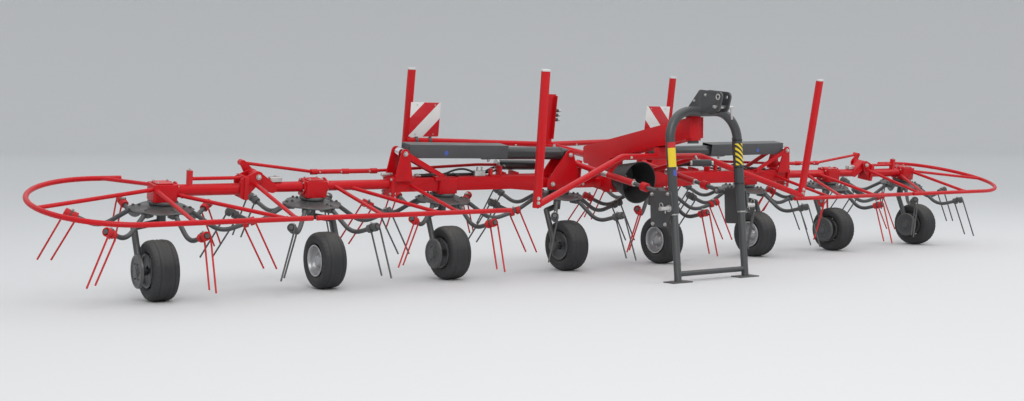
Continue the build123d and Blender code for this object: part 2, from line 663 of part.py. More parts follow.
def headstock():
    """Make the arch, top-link ears, pivot pin and the plates on the legs."""
    arch = arch_plane()
    rise = (ARCH_TOP - ARCH_FOOT[1]) / cos(radians(ARCH_LEAN))
    top_y = ARCH_FOOT[0] + rise * sin(radians(ARCH_LEAN))
    pin_y, pin_z = LINK_PIN_PLACE
    with BuildPart() as stock:
        with BuildLine(arch) as path:
            FilletPolyline(
                (-ARCH_HALF, 0), (-ARCH_HALF, rise), (ARCH_HALF, rise), (ARCH_HALF, 0),
                radius=ARCH_BEND,
            )
        with BuildSketch(Plane(origin=path.line @ 0, z_dir=path.line % 0)):
            Circle(ARCH_D / 2)
        sweep(path=path.line)
        for inner, outer in (TOP_EARS, (-TOP_EARS[1], -TOP_EARS[0])):
            upright(
                [(-925, ARCH_TOP - 12, 22), (-1075, ARCH_TOP + 132, 28), (*TOP_HOLE, TOP_EAR_R),
                 (*TOP_PIN, TOP_EAR_R)], inner, outer,
                [(*TOP_HOLE, TOP_HOLE_D / 2), (*TOP_PIN, TOP_PIN_D / 2 + RUN_GAP)],
            )
        block((-95, top_y, PIVOT_BOSS[2] + RUN_GAP), (95, PIVOT_Y + 62, PIVOT_BOSS[2] + 20))
        block((-TOP_EARS[0], top_y - 60, ARCH_TOP - 10), (TOP_EARS[0], -925, ARCH_TOP + 14))
        nut_top = PIVOT_BOSS[1] - RUN_GAP
        bar((0, PIVOT_Y, nut_top - 22), (0, PIVOT_Y, PIVOT_BOSS[2] + 10), PIVOT_D)
        bar((0, PIVOT_Y, nut_top - 22), (0, PIVOT_Y, nut_top), 84)
        for _, side in SIDES:
            low_x, high_x = sorted(side * x for x in SIDE_PLATE)
            upright(
                [(pin_y + 8, 640, 24), (pin_y, pin_z, 30), (-925, 640, 26), (-935, 418, 26),
                 (pin_y + 45, 418, 20)], low_x, high_x,
            )
            foot = arch.from_local_coords(Vector(side * ARCH_HALF, -1, 0))
            end = arch.from_local_coords(Vector(side * ARCH_HALF, STAND_IN + STAND_TRAVEL + 20, 0))
            bar(foot, end, STAND_D + 2 * RUN_GAP, mode=Mode.SUBTRACT)
    return stock.part


def hitch_pins():
    """Make the two lower link pins and the top-link pin with its handle."""
    diameter, _, length = LINK_PIN
    pin_y, pin_z = LINK_PIN_PLACE
    seat = SIDE_PLATE[1]
    with BuildPart() as pins:
        for _, side in SIDES:
            bar((side * seat, pin_y, pin_z), (side * (seat + length), pin_y, pin_z), diameter)
            bar((side * seat, pin_y, pin_z), (side * (seat + 10), pin_y, pin_z), 52)
        y, z = TOP_PIN
        bar((-TOP_EARS[1] - 22, y, z), (TOP_EARS[1] + 62, y, z), TOP_PIN_D)
        bar((TOP_EARS[1] + 54, y, z), (TOP_EARS[1] + 62, y, z - 92), 14)
    return pins.part


def stand():
    """Make the parking stand: two legs that slide in the arch, feet and a crossbar."""
    arch = arch_plane()
    lean = radians(ARCH_LEAN)
    with BuildPart() as legs:
        for _, side in SIDES:
            head = arch.from_local_coords(Vector(side * ARCH_HALF, STAND_IN, 0))
            drop = (ARCH_FOOT[1] - FOOT[2] / 2) / cos(lean)
            foot = arch.from_local_coords(Vector(side * ARCH_HALF, -drop, 0))
            bar(foot, head, STAND_D)
            block(
                (foot.X - FOOT[0] / 2, foot.Y - FOOT[1] / 2, 0),
                (foot.X + FOOT[0] / 2, foot.Y + FOOT[1] / 2, FOOT[2]),
            )
        level = arch.from_local_coords(Vector(0, -(ARCH_FOOT[1] - CROSSBAR_Z) / cos(lean), 0))
        bar((-ARCH_HALF, level.Y, level.Z), (ARCH_HALF, level.Y, level.Z), CROSSBAR_D)
        block((-500, -1400, -100), (500, -900, 0), mode=Mode.SUBTRACT)
    return legs.part


def dampers():
    """Make the two dampers between the centre frame and the headstock's sides."""
    barrel_d, rod_d = DAMPER_D
    with BuildPart() as pair:
        for _, side in SIDES:
            rear = Vector(side * DAMPER_REAR[0], *DAMPER_REAR[1:])
            front = Vector(side * DAMPER_FRONT[0], *DAMPER_FRONT[1:])
            middle = rear + (front - rear) * DAMPER_BARREL
            bar(rear, middle, barrel_d)
            bar(middle, front, rod_d)
            for eye in (rear, front):
                half = Vector(DAMPER_EYE / 2, 0, 0)
                bar(eye - half, eye + half, 58)
    return pair.part


def main():
    """Make every part and write it."""
    os.makedirs("parts", exist_ok=True)
    for number, (x, first_angle, offset, side, _) in enumerate(ROTORS, start=1):
        save(rotor_hub(x, first_angle), f"rotor_{number}", MACHINE)
        save(rotor_tines(x, first_angle), f"tines_{number}", MACHINE)
        save(tyre(x + offset), f"tyre_{number}", LEVEL)
        save(rim(x + offset, side), f"rim_{number}", LEVEL)
    for name, side in SIDES:
        inner, outer = ((1, 2), 0) if side < 0 else ((5, 6), 7)
        save(wing_beam(side), f"wing_beam_{name}", MACHINE)
        save(wheel_legs(inner), f"wing_legs_{name}", MACHINE)
        save(tip_beam(side), f"tip_beam_{name}", MACHINE)
        save(wheel_legs((outer,)), f"tip_leg_{name}", MACHINE)
        save(fold_barrel(side), f"fold_barrel_{name}", MACHINE)
        save(fold_rod(side), f"fold_rod_{name}", MACHINE)
        save(cylinder_cover(side), f"cylinder_cover_{name}", MACHINE)
        save(tip_cylinder(side), f"tip_cylinder_{name}", MACHINE)
        save(tip_rod(side), f"tip_rod_{name}", MACHINE)
    save(centre_frame(), "centre_frame", Location())
    save(guards(), "guards", Location())
    save(warning_panels(), "warning_panels", MACHINE)
    save(wheel_legs((3, 4)), "centre_legs", MACHINE)
    save(pto_guard(), "pto_guard", MACHINE)
    save(pto_shaft(), "pto_shaft", MACHINE)
    save(headstock(), "headstock", LEVEL)
    save(hitch_pins(), "hitch_pins", LEVEL)
    save(stand(), "stand", LEVEL)
    save(dampers(), "dampers", LEVEL)


if __name__ == "__main__":
    main()
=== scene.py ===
"""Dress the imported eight-rotor hay tedder with its finishes, springs, tyres, hoses and bolts.

Lengths are metres in the row frame. Most pieces are worked out in the machine frame, which leans
forward with the rotor axes: x runs across the machine, y to the rear and z along those axes.
"""

import json
import logging
from dataclasses import dataclass, field
from enum import Enum
from math import cos, pi, radians, sin, sqrt
from typing import Any, Sequence

import bmesh
import bpy
import numpy as np
from mathutils import Matrix

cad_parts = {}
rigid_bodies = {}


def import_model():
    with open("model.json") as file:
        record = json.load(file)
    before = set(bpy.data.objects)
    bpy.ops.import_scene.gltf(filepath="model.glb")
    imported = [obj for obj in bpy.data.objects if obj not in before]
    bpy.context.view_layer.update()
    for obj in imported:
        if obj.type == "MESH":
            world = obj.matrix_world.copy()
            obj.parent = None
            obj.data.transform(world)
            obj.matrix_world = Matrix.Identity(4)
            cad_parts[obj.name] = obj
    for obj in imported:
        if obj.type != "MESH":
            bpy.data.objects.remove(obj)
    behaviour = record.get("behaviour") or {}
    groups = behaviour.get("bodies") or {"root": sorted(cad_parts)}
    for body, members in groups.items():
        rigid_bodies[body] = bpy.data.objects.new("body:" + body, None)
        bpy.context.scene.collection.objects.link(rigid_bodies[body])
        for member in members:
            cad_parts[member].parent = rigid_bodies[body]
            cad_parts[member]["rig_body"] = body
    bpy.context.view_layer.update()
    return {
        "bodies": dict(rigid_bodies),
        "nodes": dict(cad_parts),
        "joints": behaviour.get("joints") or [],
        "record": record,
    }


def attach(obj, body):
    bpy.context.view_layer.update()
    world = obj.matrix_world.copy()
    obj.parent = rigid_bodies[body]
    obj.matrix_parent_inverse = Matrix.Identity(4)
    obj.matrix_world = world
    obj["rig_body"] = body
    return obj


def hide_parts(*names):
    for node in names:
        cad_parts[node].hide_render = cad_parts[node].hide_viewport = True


Array = np.ndarray
Point = Sequence[float]
Spot = tuple[float, float, float]
Outline = tuple[tuple[float, float], ...]
LOG = logging.getLogger("tedder")
SIDES = (("L", -1.0), ("R", 1.0))
ROTOR_COUNT = 8


# --- Places and paths -----------------------------------------------------------------------


def unit(vectors: Any) -> Array:
    """Scale vectors to length one.

    Args:
        vectors: one vector, or an array whose last axis holds x, y, z.

    Returns:
        The vectors divided by their lengths.
    """
    values = np.asarray(vectors, float)
    return values / np.linalg.norm(values, axis=-1, keepdims=True)


@dataclass(frozen=True)
class Place:
    """A local frame: its origin, and its three unit axes as the rows of an array."""

    origin: Array
    axes: Array

    def __call__(self, local: Any) -> Array:
        """Carry local points to the row frame: the origin plus each coordinate times its axis."""
        return self.origin + np.asarray(local, float) @ self.axes

    def at(self, x: float, y: float, z: float) -> "Place":
        """Give the same frame with its origin moved to a local point."""
        return Place(self((x, y, z)), self.axes)

    def turned(self, angle: float) -> "Place":
        """Give the frame turned about its own z by an angle in radians.

        Args:
            angle: the angle.

        Returns:
            The turned frame.
        """
        c, s = cos(angle), sin(angle)
        turn = np.array([[c, s, 0.0], [-s, c, 0.0], [0.0, 0.0, 1.0]])
        return Place(self.origin, turn @ self.axes)

    def aimed(self, start: Point, end: Point) -> "Place":
        """Give a frame at a local start point whose z runs to a local end point."""
        return aim(self(start), self(end) - self(start))

    def facing(self, spot: Point, direction: Point) -> "Place":
        """Give a frame at a local point whose z runs along a local direction."""
        return aim(self(spot), np.asarray(direction, float) @ self.axes)

    def mirrored(self, side: float) -> "Place":
        """Give the frame with its x turned about for the left side."""
        return Place(self.origin, self.axes * np.array(((side,), (1.0,), (1.0,))))


def aim(origin: Any, direction: Any) -> Place:
    """Make a frame from an origin and the direction of its z.

    Args:
        origin: where the frame stands.
        direction: where its z points; its x is level, or runs across if z is upright.

    Returns:
        The frame.
    """
    z = unit(direction)
    hint = np.array((0.0, 0.0, 1.0)) if abs(z[2]) < 0.97 else np.array((0.0, 1.0, 0.0))
    x = unit(np.cross(hint, z))
    return Place(np.asarray(origin, float), np.array((x, np.cross(z, x), z)))


def rounded_path(points: Any, radius: float, steps: int = 7) -> Array:
    """Round the corners of a run of straight lines.

    Each corner is replaced by a quadratic curve that leaves one run and joins the next at the
    same distance from the corner: the square of (1-t) times the first point, plus 2t(1-t) times
    the corner, plus the square of t times the last.

    Args:
        points: the corners, ends included.
        radius: how far each curve reaches along its runs, cut to 0.45 of the shorter run.
        steps: points in each curve.

    Returns:
        The points of the rounded line.
    """
    corners = np.asarray(points, float)
    runs = np.linalg.norm(np.diff(corners, axis=0), axis=1)
    t = np.linspace(0, 1, steps)[:, None]
    parts = [corners[:1]]
    for before, corner, after, run_in, run_out in zip(
        corners[:-2], corners[1:-1], corners[2:], runs[:-1], runs[1:]
    ):
        reach = min(radius, 0.45 * run_in, 0.45 * run_out)
        first = corner + unit(before - corner) * reach
        last = corner + unit(after - corner) * reach
        parts.append((1 - t) ** 2 * first + 2 * t * (1 - t) * corner + t**2 * last)
    parts.append(corners[-1:])
    return np.vstack(parts)


def smooth_path(points: Any, steps: int = 8) -> Array:
    """Draw a flowing line near a few points, as a uniform cubic B-spline with its ends kept.

    Args:
        points: the control points.
        steps: points in each span.

    Returns:
        The points of the curve.
    """
    control = np.asarray(points, float)
    first, last = control[:1], control[-1:]
    control = np.vstack([2 * first - control[1:2], control, 2 * last - control[-2:-1]])
    t = np.linspace(0, 1, steps, endpoint=False)[:, None]
    weights = np.hstack(
        [(1 - t) ** 3, 3 * t**3 - 6 * t**2 + 4, -3 * t**3 + 3 * t**2 + 3 * t + 1, t**3]
    ) / 6
    spans = np.stack([control[i : len(control) - 3 + i] for i in range(4)], axis=1)
    return np.vstack([np.einsum("sk,nkd->nsd", weights, spans).reshape(-1, 3), last])


# --- Outlines -------------------------------------------------------------------------------


def ring_of(radius: float, sides: int, start: float = 0.0) -> Array:
    """Give a regular polygon's corners: radius times the cosine and sine of even angles."""
    angle = start + np.linspace(0, 2 * pi, sides, endpoint=False)
    return radius * np.column_stack([np.cos(angle), np.sin(angle)])


def rectangle(low: Point, high: Point, corner: float, steps: int = 3) -> Array:
    """Give a rectangle's outline with round corners.

    Args:
        low: the lowest corner.
        high: the highest corner.
        corner: the corners' radius.
        steps: points in each corner; each is a quarter circle about a point inset by the radius.

    Returns:
        The outline's points, anticlockwise.
    """
    (x0, y0), (x1, y1) = low, high
    corner = min(corner, 0.49 * (x1 - x0), 0.49 * (y1 - y0))
    centres = ((x1 - corner, y1 - corner), (x0 + corner, y1 - corner),
               (x0 + corner, y0 + corner), (x1 - corner, y0 + corner))
    angle = np.linspace(0, pi / 2, steps)
    parts = []
    for k, centre in enumerate(centres):
        turn = angle + k * pi / 2
        parts.append(np.array(centre) + corner * np.column_stack([np.cos(turn), np.sin(turn)]))
    return np.vstack(parts)


def inset(outline: Array, distance: float) -> Array:
    """Move an anticlockwise outline inwards.

    Each corner moves along the sum of its two edges' normals, divided by one plus their product,
    which keeps every edge at the given distance.

    Args:
        outline: the outline's points, anticlockwise.
        distance: how far each edge moves.

    Returns:
        The moved outline.
    """
    edge = unit(np.roll(outline, -1, axis=0) - outline)
    normal = np.column_stack([edge[:, 1], -edge[:, 0]])
    before = np.roll(normal, 1, axis=0)
    share = 1 + np.sum(normal * before, axis=1, keepdims=True)
    return outline - distance * (normal + before) / np.maximum(share, 0.3)


# --- Shapes ---------------------------------------------------------------------------------


class Shape:
    """Closed surfaces, worked out as grids of points and gathered into one mesh."""

    def __init__(self) -> None:
        """Start with nothing."""
        self.points: list[Array] = []
        self.faces: list[list[int]] = []
        self.count = 0

    def grid(self, points: Array, wrap_first: bool = False, wrap_second: bool = True) -> None:
        """Add a surface given on a grid, and close the ends that don't meet.

        Args:
            points: the grid's points, by first parameter, second parameter and coordinate.
            wrap_first: whether the last row joins the first.
            wrap_second: whether the last column joins the first.
        """
        rows, columns = points.shape[:2]
        index = self.count + np.arange(rows * columns).reshape(rows, columns)
        if not wrap_first and wrap_second:
            self.faces += [index[0].tolist(), index[-1].tolist()]
        if wrap_first and not wrap_second:
            self.faces += [index[:, 0].tolist(), index[:, -1].tolist()]
        if wrap_first:
            index = np.vstack([index, index[:1]])
        if wrap_second:
            index = np.hstack([index, index[:, :1]])
        quads = np.stack([index[:-1, :-1], index[1:, :-1], index[1:, 1:], index[:-1, 1:]], axis=-1)
        self.faces += quads.reshape(-1, 4).tolist()
        self.points.append(points.reshape(-1, 3))
        self.count += rows * columns

    def tube(self, path: Array, radius: Any, sides: int = 10) -> None:
        """Carry a circle along a path.

        A ring's point is the path's point plus the radius times (cosine of the angle times the
        side axis plus sine times the upper axis), where both axes are square to the path.

        Args:
            path: the middle line's points.
            radius: one radius, or one for each point.
            sides: corners of the ring.
        """
        path = np.asarray(path, float)
        along = unit(np.gradient(path, axis=0))
        reference = np.linalg.svd(along)[2][-1]
        across = unit(np.cross(reference, along))
        upward = np.cross(along, across)
        angle = np.linspace(0, 2 * pi, sides, endpoint=False)[None, :, None]
        size = np.broadcast_to(np.asarray(radius, float), (len(path),))[:, None, None]
        circles = np.cos(angle) * across[:, None] + np.sin(angle) * upward[:, None]
        self.grid(path[:, None] + size * circles)

    def spin(self, profile: Any, place: Place, sides: int = 32, arc: float = 2 * pi,
             closed: bool = False) -> None:
        """Turn a profile about a place's z.

        A point is (radius times cosine, radius times sine, height) of the turning angle.

        Args:
            profile: the radius and height of each point.
            place: the frame to turn in.
            sides: steps round.
            arc: how far to turn, in radians.
            closed: whether the profile's last point joins its first.
        """
        radius, height = np.asarray(profile, float).T
        full = arc > 2 * pi - 1e-6
        angle = np.linspace(0, arc, sides, endpoint=not full)
        turned = np.stack(
            np.broadcast_arrays(
                radius[:, None] * np.cos(angle), radius[:, None] * np.sin(angle), height[:, None]
            ), axis=-1,
        )
        self.grid(place(turned), wrap_first=closed, wrap_second=full)

    def prism(self, outline: Array, low: float, high: float, place: Place, edge: float = 0.0015) -> None:
        """Raise an outline along a place's z with chamfered rims.

        Four rings make it: the inset outline at the bottom, the outline one chamfer up, the
        outline one chamfer below the top, and the inset outline at the top.

        Args:
            outline: the outline's points, anticlockwise.
            low: where the prism starts.
            high: where it ends.
            place: the frame to stand in.
            edge: the width of the chamfers.
        """
        inner = inset(outline, edge)
        rings = [(inner, low), (outline, low + edge), (outline, high - edge), (inner, high)]
        stack = np.stack([np.column_stack([ring, np.full(len(ring), z)]) for ring, z in rings])
        self.grid(place(stack))

    def box(self, low: Point, high: Point, place: Place, corner: float = 0.003) -> None:
        """Add a box between two local corners, with rounded uprights and chamfered rims."""
        outline = rectangle(low[:2], high[:2], corner)
        self.prism(outline, low[2], high[2], place, min(corner * 0.6, 0.3 * (high[2] - low[2])))

    def rod(self, start: Any, end: Any, radius: float, sides: int = 14, edge: float = 0.0012) -> None:
        """Add a round bar between two points of the row frame, with chamfered ends.

        Args:
            start: where the bar starts.
            end: where it ends.
            radius: the bar's radius.
            sides: the number of its sides.
            edge: the width of the chamfers.
        """
        start, end = np.asarray(start, float), np.asarray(end, float)
        place = aim(start, end - start)
        self.prism(ring_of(radius, sides), 0.0, float(np.linalg.norm(end - start)), place, edge)

    def bolt(self, place: Place, size: float) -> None:
        """Add a washer, a hexagon nut and the end of its bolt, standing on a place's z.

        Args:
            place: the frame that the bolt stands in.
            size: the thread's diameter.
        """
        washer, nut, thread = 1.12 * size, 0.92 * size, 0.45 * size
        washer_top, nut_top, thread_top = 0.16 * size, 0.95 * size, 1.2 * size
        self.prism(ring_of(washer, 12), 0.0, washer_top, place, 0.0003)
        self.prism(ring_of(nut, 6), washer_top, nut_top, place, 0.08 * size)
        self.prism(ring_of(thread, 8), nut_top, thread_top, place, 0.1 * size)

    def weld(self, place: Place, radius: float, bead: float = 0.0035) -> None:
        """Add a rippled weld bead round a bar: a ring whose section swells and shrinks.

        Args:
            place: the frame to stand in.
            radius: the bar's radius.
            bead: the bead's radius.
        """
        ripples, ripple_height = 20, 0.22
        turn = np.linspace(0, 2 * pi, 2 * ripples, endpoint=False)[:, None]
        angle = np.linspace(0, 2 * pi, 6, endpoint=False)[None, :]
        section = bead * (1 + ripple_height * np.cos(turn * ripples))
        reach = radius + section * np.cos(angle)
        points = np.stack([reach * np.cos(turn), reach * np.sin(turn), section * np.sin(angle)], axis=-1)
        self.grid(place(points), wrap_first=True)

    def mesh(self, name: str, sharp: float) -> bpy.types.Mesh:
        """Make the mesh, with its faces outward and its edges sharp past an angle in degrees.

        Args:
            name: the mesh's name.
            sharp: the angle.

        Returns:
            The mesh.
        """
        made = bpy.data.meshes.new(name)
        made.from_pydata(np.vstack(self.points).tolist(), [], self.faces)
        work = bmesh.new()
        work.from_mesh(made)
        bmesh.ops.recalc_face_normals(work, faces=work.faces)
        work.to_mesh(made)
        work.free()
        made.shade_smooth()
        made.set_sharp_from_angle(angle=radians(sharp))
        return made


# --- Shader groups --------------------------------------------------------------------------


class Effects:
    """The shader node groups that the finishes share; each is built once."""

    patch_range: tuple[float, float] = (0.35, 0.65)
    patch_floor: float = 0.35
    edge_range: tuple[float, float] = (0.53, 0.62)
    upper_range: tuple[float, float] = (0.15, 0.95)
    worn_colour: tuple[float, float, float, float] = (0.62, 0.6, 0.57, 1.0)
    black: tuple[float, float, float, float] = (0.0, 0.0, 0.0, 1.0)
    rough_share: float = 0.55
    wave_share: float = 2.5

    def __init__(self) -> None:
        """Build both groups."""
        self.weathered = self._weathered()
        self.grained = self._grained()

    @staticmethod
    def _group(name: str, inputs: Sequence[tuple[str, str]], outputs: Sequence[tuple[str, str]]) -> Any:
        """Make an empty group with its sockets.

        Args:
            name: the group's name.
            inputs: each input's name and socket type.
            outputs: each output's name and socket type.

        Returns:
            The tree, its input node and its output node.
        """
        tree = bpy.data.node_groups.new(name, "ShaderNodeTree")
        for direction, sockets in (("INPUT", inputs), ("OUTPUT", outputs)):
            for label, kind in sockets:
                tree.interface.new_socket(label, in_out=direction, socket_type=kind)
        return tree, tree.nodes.new("NodeGroupInput"), tree.nodes.new("NodeGroupOutput")

    def _weathered(self) -> bpy.types.NodeTree:
        """Build the group that mottles a colour, lightens its edges and lays dust on top faces.

        Returns:
            The group.
        """
        tree, given, out = self._group(
            "weathered",
            (("Vector", "NodeSocketVector"), ("Colour", "NodeSocketColor"), ("Dust", "NodeSocketColor"),
             ("Roughness", "NodeSocketFloat"), ("Mottle", "NodeSocketFloat"),
             ("Dusting", "NodeSocketFloat"), ("Wear", "NodeSocketFloat"), ("Scale", "NodeSocketFloat")),
            (("Colour", "NodeSocketColor"), ("Roughness", "NodeSocketFloat")),
        )
        link = tree.links.new
        noise = tree.nodes.new("ShaderNodeTexNoise")
        noise.inputs["Detail"].default_value = 5.0
        link(given.outputs["Vector"], noise.inputs["Vector"])
        link(given.outputs["Scale"], noise.inputs["Scale"])
        patch = remap(tree, noise.outputs["Fac"], *self.patch_range, 0.0, 1.0)
        shade = maths(tree, "MULTIPLY", patch, given.outputs["Mottle"])
        dark = mix_colour(tree, shade, given.outputs["Colour"], self.black)
        surface = tree.nodes.new("ShaderNodeNewGeometry")
        edge = remap(tree, surface.outputs["Pointiness"], *self.edge_range, 0.0, 1.0)
        worn = maths(tree, "MULTIPLY", edge, given.outputs["Wear"])
        light = mix_colour(tree, worn, dark, self.worn_colour)
        facing = tree.nodes.new("ShaderNodeSeparateXYZ")
        link(surface.outputs["Normal"], facing.inputs[0])
        upper = remap(tree, facing.outputs["Z"], *self.upper_range, 0.0, 1.0)
        layer = maths(tree, "MULTIPLY", upper, maths(tree, "ADD", patch, self.patch_floor))
        dust = maths(tree, "MULTIPLY", layer, given.outputs["Dusting"])
        link(mix_colour(tree, dust, light, given.outputs["Dust"]), out.inputs["Colour"])
        rougher = maths(tree, "MULTIPLY", maths(tree, "ADD", dust, shade), self.rough_share)
        link(maths(tree, "ADD", given.outputs["Roughness"], rougher), out.inputs["Roughness"])
        return tree

    def _grained(self) -> bpy.types.NodeTree:
        """Build the group that gives the height of a fine grain over a slow waviness.

        Returns:
            The group.
        """
        tree, given, out = self._group(
            "grained",
            (("Vector", "NodeSocketVector"), ("Fine", "NodeSocketFloat"), ("Slow", "NodeSocketFloat")),
            (("Height", "NodeSocketFloat"),),
        )
        link = tree.links.new
        heights = []
        for label, detail in (("Fine", 2.0), ("Slow", 1.0)):
            noise = tree.nodes.new("ShaderNodeTexNoise")
            noise.inputs["Detail"].default_value = detail
            link(given.outputs["Vector"], noise.inputs["Vector"])
            link(given.outputs[label], noise.inputs["Scale"])
            heights.append(noise.outputs["Fac"])
        waves = maths(tree, "MULTIPLY", heights[1], self.wave_share)
        link(maths(tree, "ADD", heights[0], waves), out.inputs["Height"])
        return tree


def maths(tree: Any, operation: str, first: Any, second: Any = None) -> Any:
    """Add a Math node and give its output; each operand is a socket or a number.

    Args:
        tree: the node tree to add to.
        operation: the node's operation.
        first: the first operand.
        second: the second, if there is one.

    Returns:
        The node's output.
    """
    node = tree.nodes.new("ShaderNodeMath")
    node.operation = operation
    for socket, value in zip(node.inputs, (first, second)):
        if isinstance(value, bpy.types.NodeSocket):
            tree.links.new(value, socket)
        elif value is not None:
            socket.default_value = value
    return node.outputs[0]


def remap(tree: Any, value: Any, low: float, high: float, to_low: float, to_high: float) -> Any:
    """Add a clamped Map Range node from one range to another and give its output.

    Args:
        tree: the node tree to add to.
        value: the socket to remap.
        low: where the first range starts.
        high: where it ends.
        to_low: where the second range starts.
        to_high: where it ends.

    Returns:
        The node's output.
    """
    node = tree.nodes.new("ShaderNodeMapRange")
    tree.links.new(value, node.inputs["Value"])
    for socket, number in zip(list(node.inputs)[1:5], (low, high, to_low, to_high)):
        socket.default_value = number
    return node.outputs["Result"]


def mix_colour(tree: Any, factor: Any, first: Any, second: Any) -> Any:
    """Add a colour mix node and give its output; each colour is a socket or four numbers.

    Args:
        tree: the node tree to add to.
        factor: the second colour's share.
        first: the first colour.
        second: the second colour.

    Returns:
        The node's output.
    """
    node = tree.nodes.new("ShaderNodeMix")
    node.data_type = "RGBA"
    colours = [socket for socket in node.inputs if socket.type == "RGBA"]
    tree.links.new(factor, node.inputs["Factor"])
    for socket, value in zip(colours, (first, second)):
        if isinstance(value, bpy.types.NodeSocket):
            tree.links.new(value, socket)
        else:
            socket.default_value = value
    return next(socket for socket in node.outputs if socket.type == "RGBA")


# --- Finishes -------------------------------------------------------------------------------


@dataclass(frozen=True)
class Finish:
    """A painted, plated, moulded or rubber surface."""

    name: str
    slot: str
    colour: tuple[float, float, float]
    roughness: float = 0.4
    metallic: float = 0.0
    coat: float = 0.0
    coat_roughness: float = 0.12
    specular: float = 0.5
    mottle: float = 0.1
    dusting: float = 0.05
    wear: float = 0.05
    dust: tuple[float, float, float] = (0.5, 0.47, 0.42)
    patch_scale: float = 5.0
    fine: float = 220.0
    slow: float = 30.0
    relief: float = 0.0002

    def material(self, effects: Effects) -> bpy.types.Material:
        """Build the material, or give it back if it is there already.

        Args:
            effects: the shared shader groups.

        Returns:
            The material.
        """
        found = bpy.data.materials.get(self.name)
        if found:
            return found
        made = bpy.data.materials.new(self.name)
        made.use_nodes = True
        made.diffuse_color = (*self.colour, 1.0)
        tree = made.node_tree
        shader = tree.nodes["Principled BSDF"]
        shader.inputs["Metallic"].default_value = self.metallic
        shader.inputs["Coat Weight"].default_value = self.coat
        shader.inputs["Specular IOR Level"].default_value = self.specular
        shader.inputs["Coat Roughness"].default_value = self.coat_roughness
        spot = tree.nodes.new("ShaderNodeTexCoord").outputs["Object"]
        skin = tree.nodes.new("ShaderNodeGroup")
        skin.node_tree = effects.weathered
        values = {"Roughness": self.roughness, "Mottle": self.mottle, "Dusting": self.dusting,
                  "Wear": self.wear, "Scale": self.patch_scale, "Dust": (*self.dust, 1.0)}
        for label, value in values.items():
            skin.inputs[label].default_value = value
        tree.links.new(spot, skin.inputs["Vector"])
        self.paint(tree, spot, skin.inputs["Colour"])
        tree.links.new(skin.outputs["Colour"], shader.inputs["Base Color"])
        tree.links.new(skin.outputs["Roughness"], shader.inputs["Roughness"])
        grain = tree.nodes.new("ShaderNodeGroup")
        grain.node_tree = effects.grained
        grain.inputs["Fine"].default_value = self.fine
        grain.inputs["Slow"].default_value = self.slow
        tree.links.new(spot, grain.inputs["Vector"])
        bump = tree.nodes.new("ShaderNodeBump")
        bump.inputs["Distance"].default_value = self.relief
        tree.links.new(grain.outputs["Height"], bump.inputs["Height"])
        tree.links.new(bump.outputs["Normal"], shader.inputs["Normal"])
        return made

    def paint(self, tree: Any, spot: Any, target: Any) -> None:
        """Set the group's colour; a pattern overrides this to link one instead."""
        target.default_value = (*self.colour, 1.0)


@dataclass(frozen=True)
class Stripes(Finish):
    """Slanting bands of two colours, mirrored about the machine's middle."""

    second: tuple[float, float, float] = (0.9, 0.9, 0.9)
    band: float = 0.1
    offset: float = 0.0

    def paint(self, tree: Any, spot: Any, target: Any) -> None:
        """Link the colour of the bands.

        The bands follow height plus distance from the middle, divided by the square root of two:
        the fraction of that over two bands' width picks the colour.

        Args:
            tree: the node tree to add to.
            spot: the surface's coordinates.
            target: the input that takes the colour.
        """
        parts = tree.nodes.new("ShaderNodeSeparateXYZ")
        tree.links.new(spot, parts.inputs[0])
        sideways = maths(tree, "ABSOLUTE", parts.outputs["X"])
        value = maths(tree, "ADD", maths(tree, "ADD", sideways, parts.outputs["Z"]), -self.offset)
        turn = maths(tree, "FRACT", maths(tree, "DIVIDE", value, 2 * sqrt(2) * self.band))
        mask = maths(tree, "GREATER_THAN", turn, 0.5)
        tree.links.new(mix_colour(tree, mask, (*self.colour, 1.0), (*self.second, 1.0)), target)


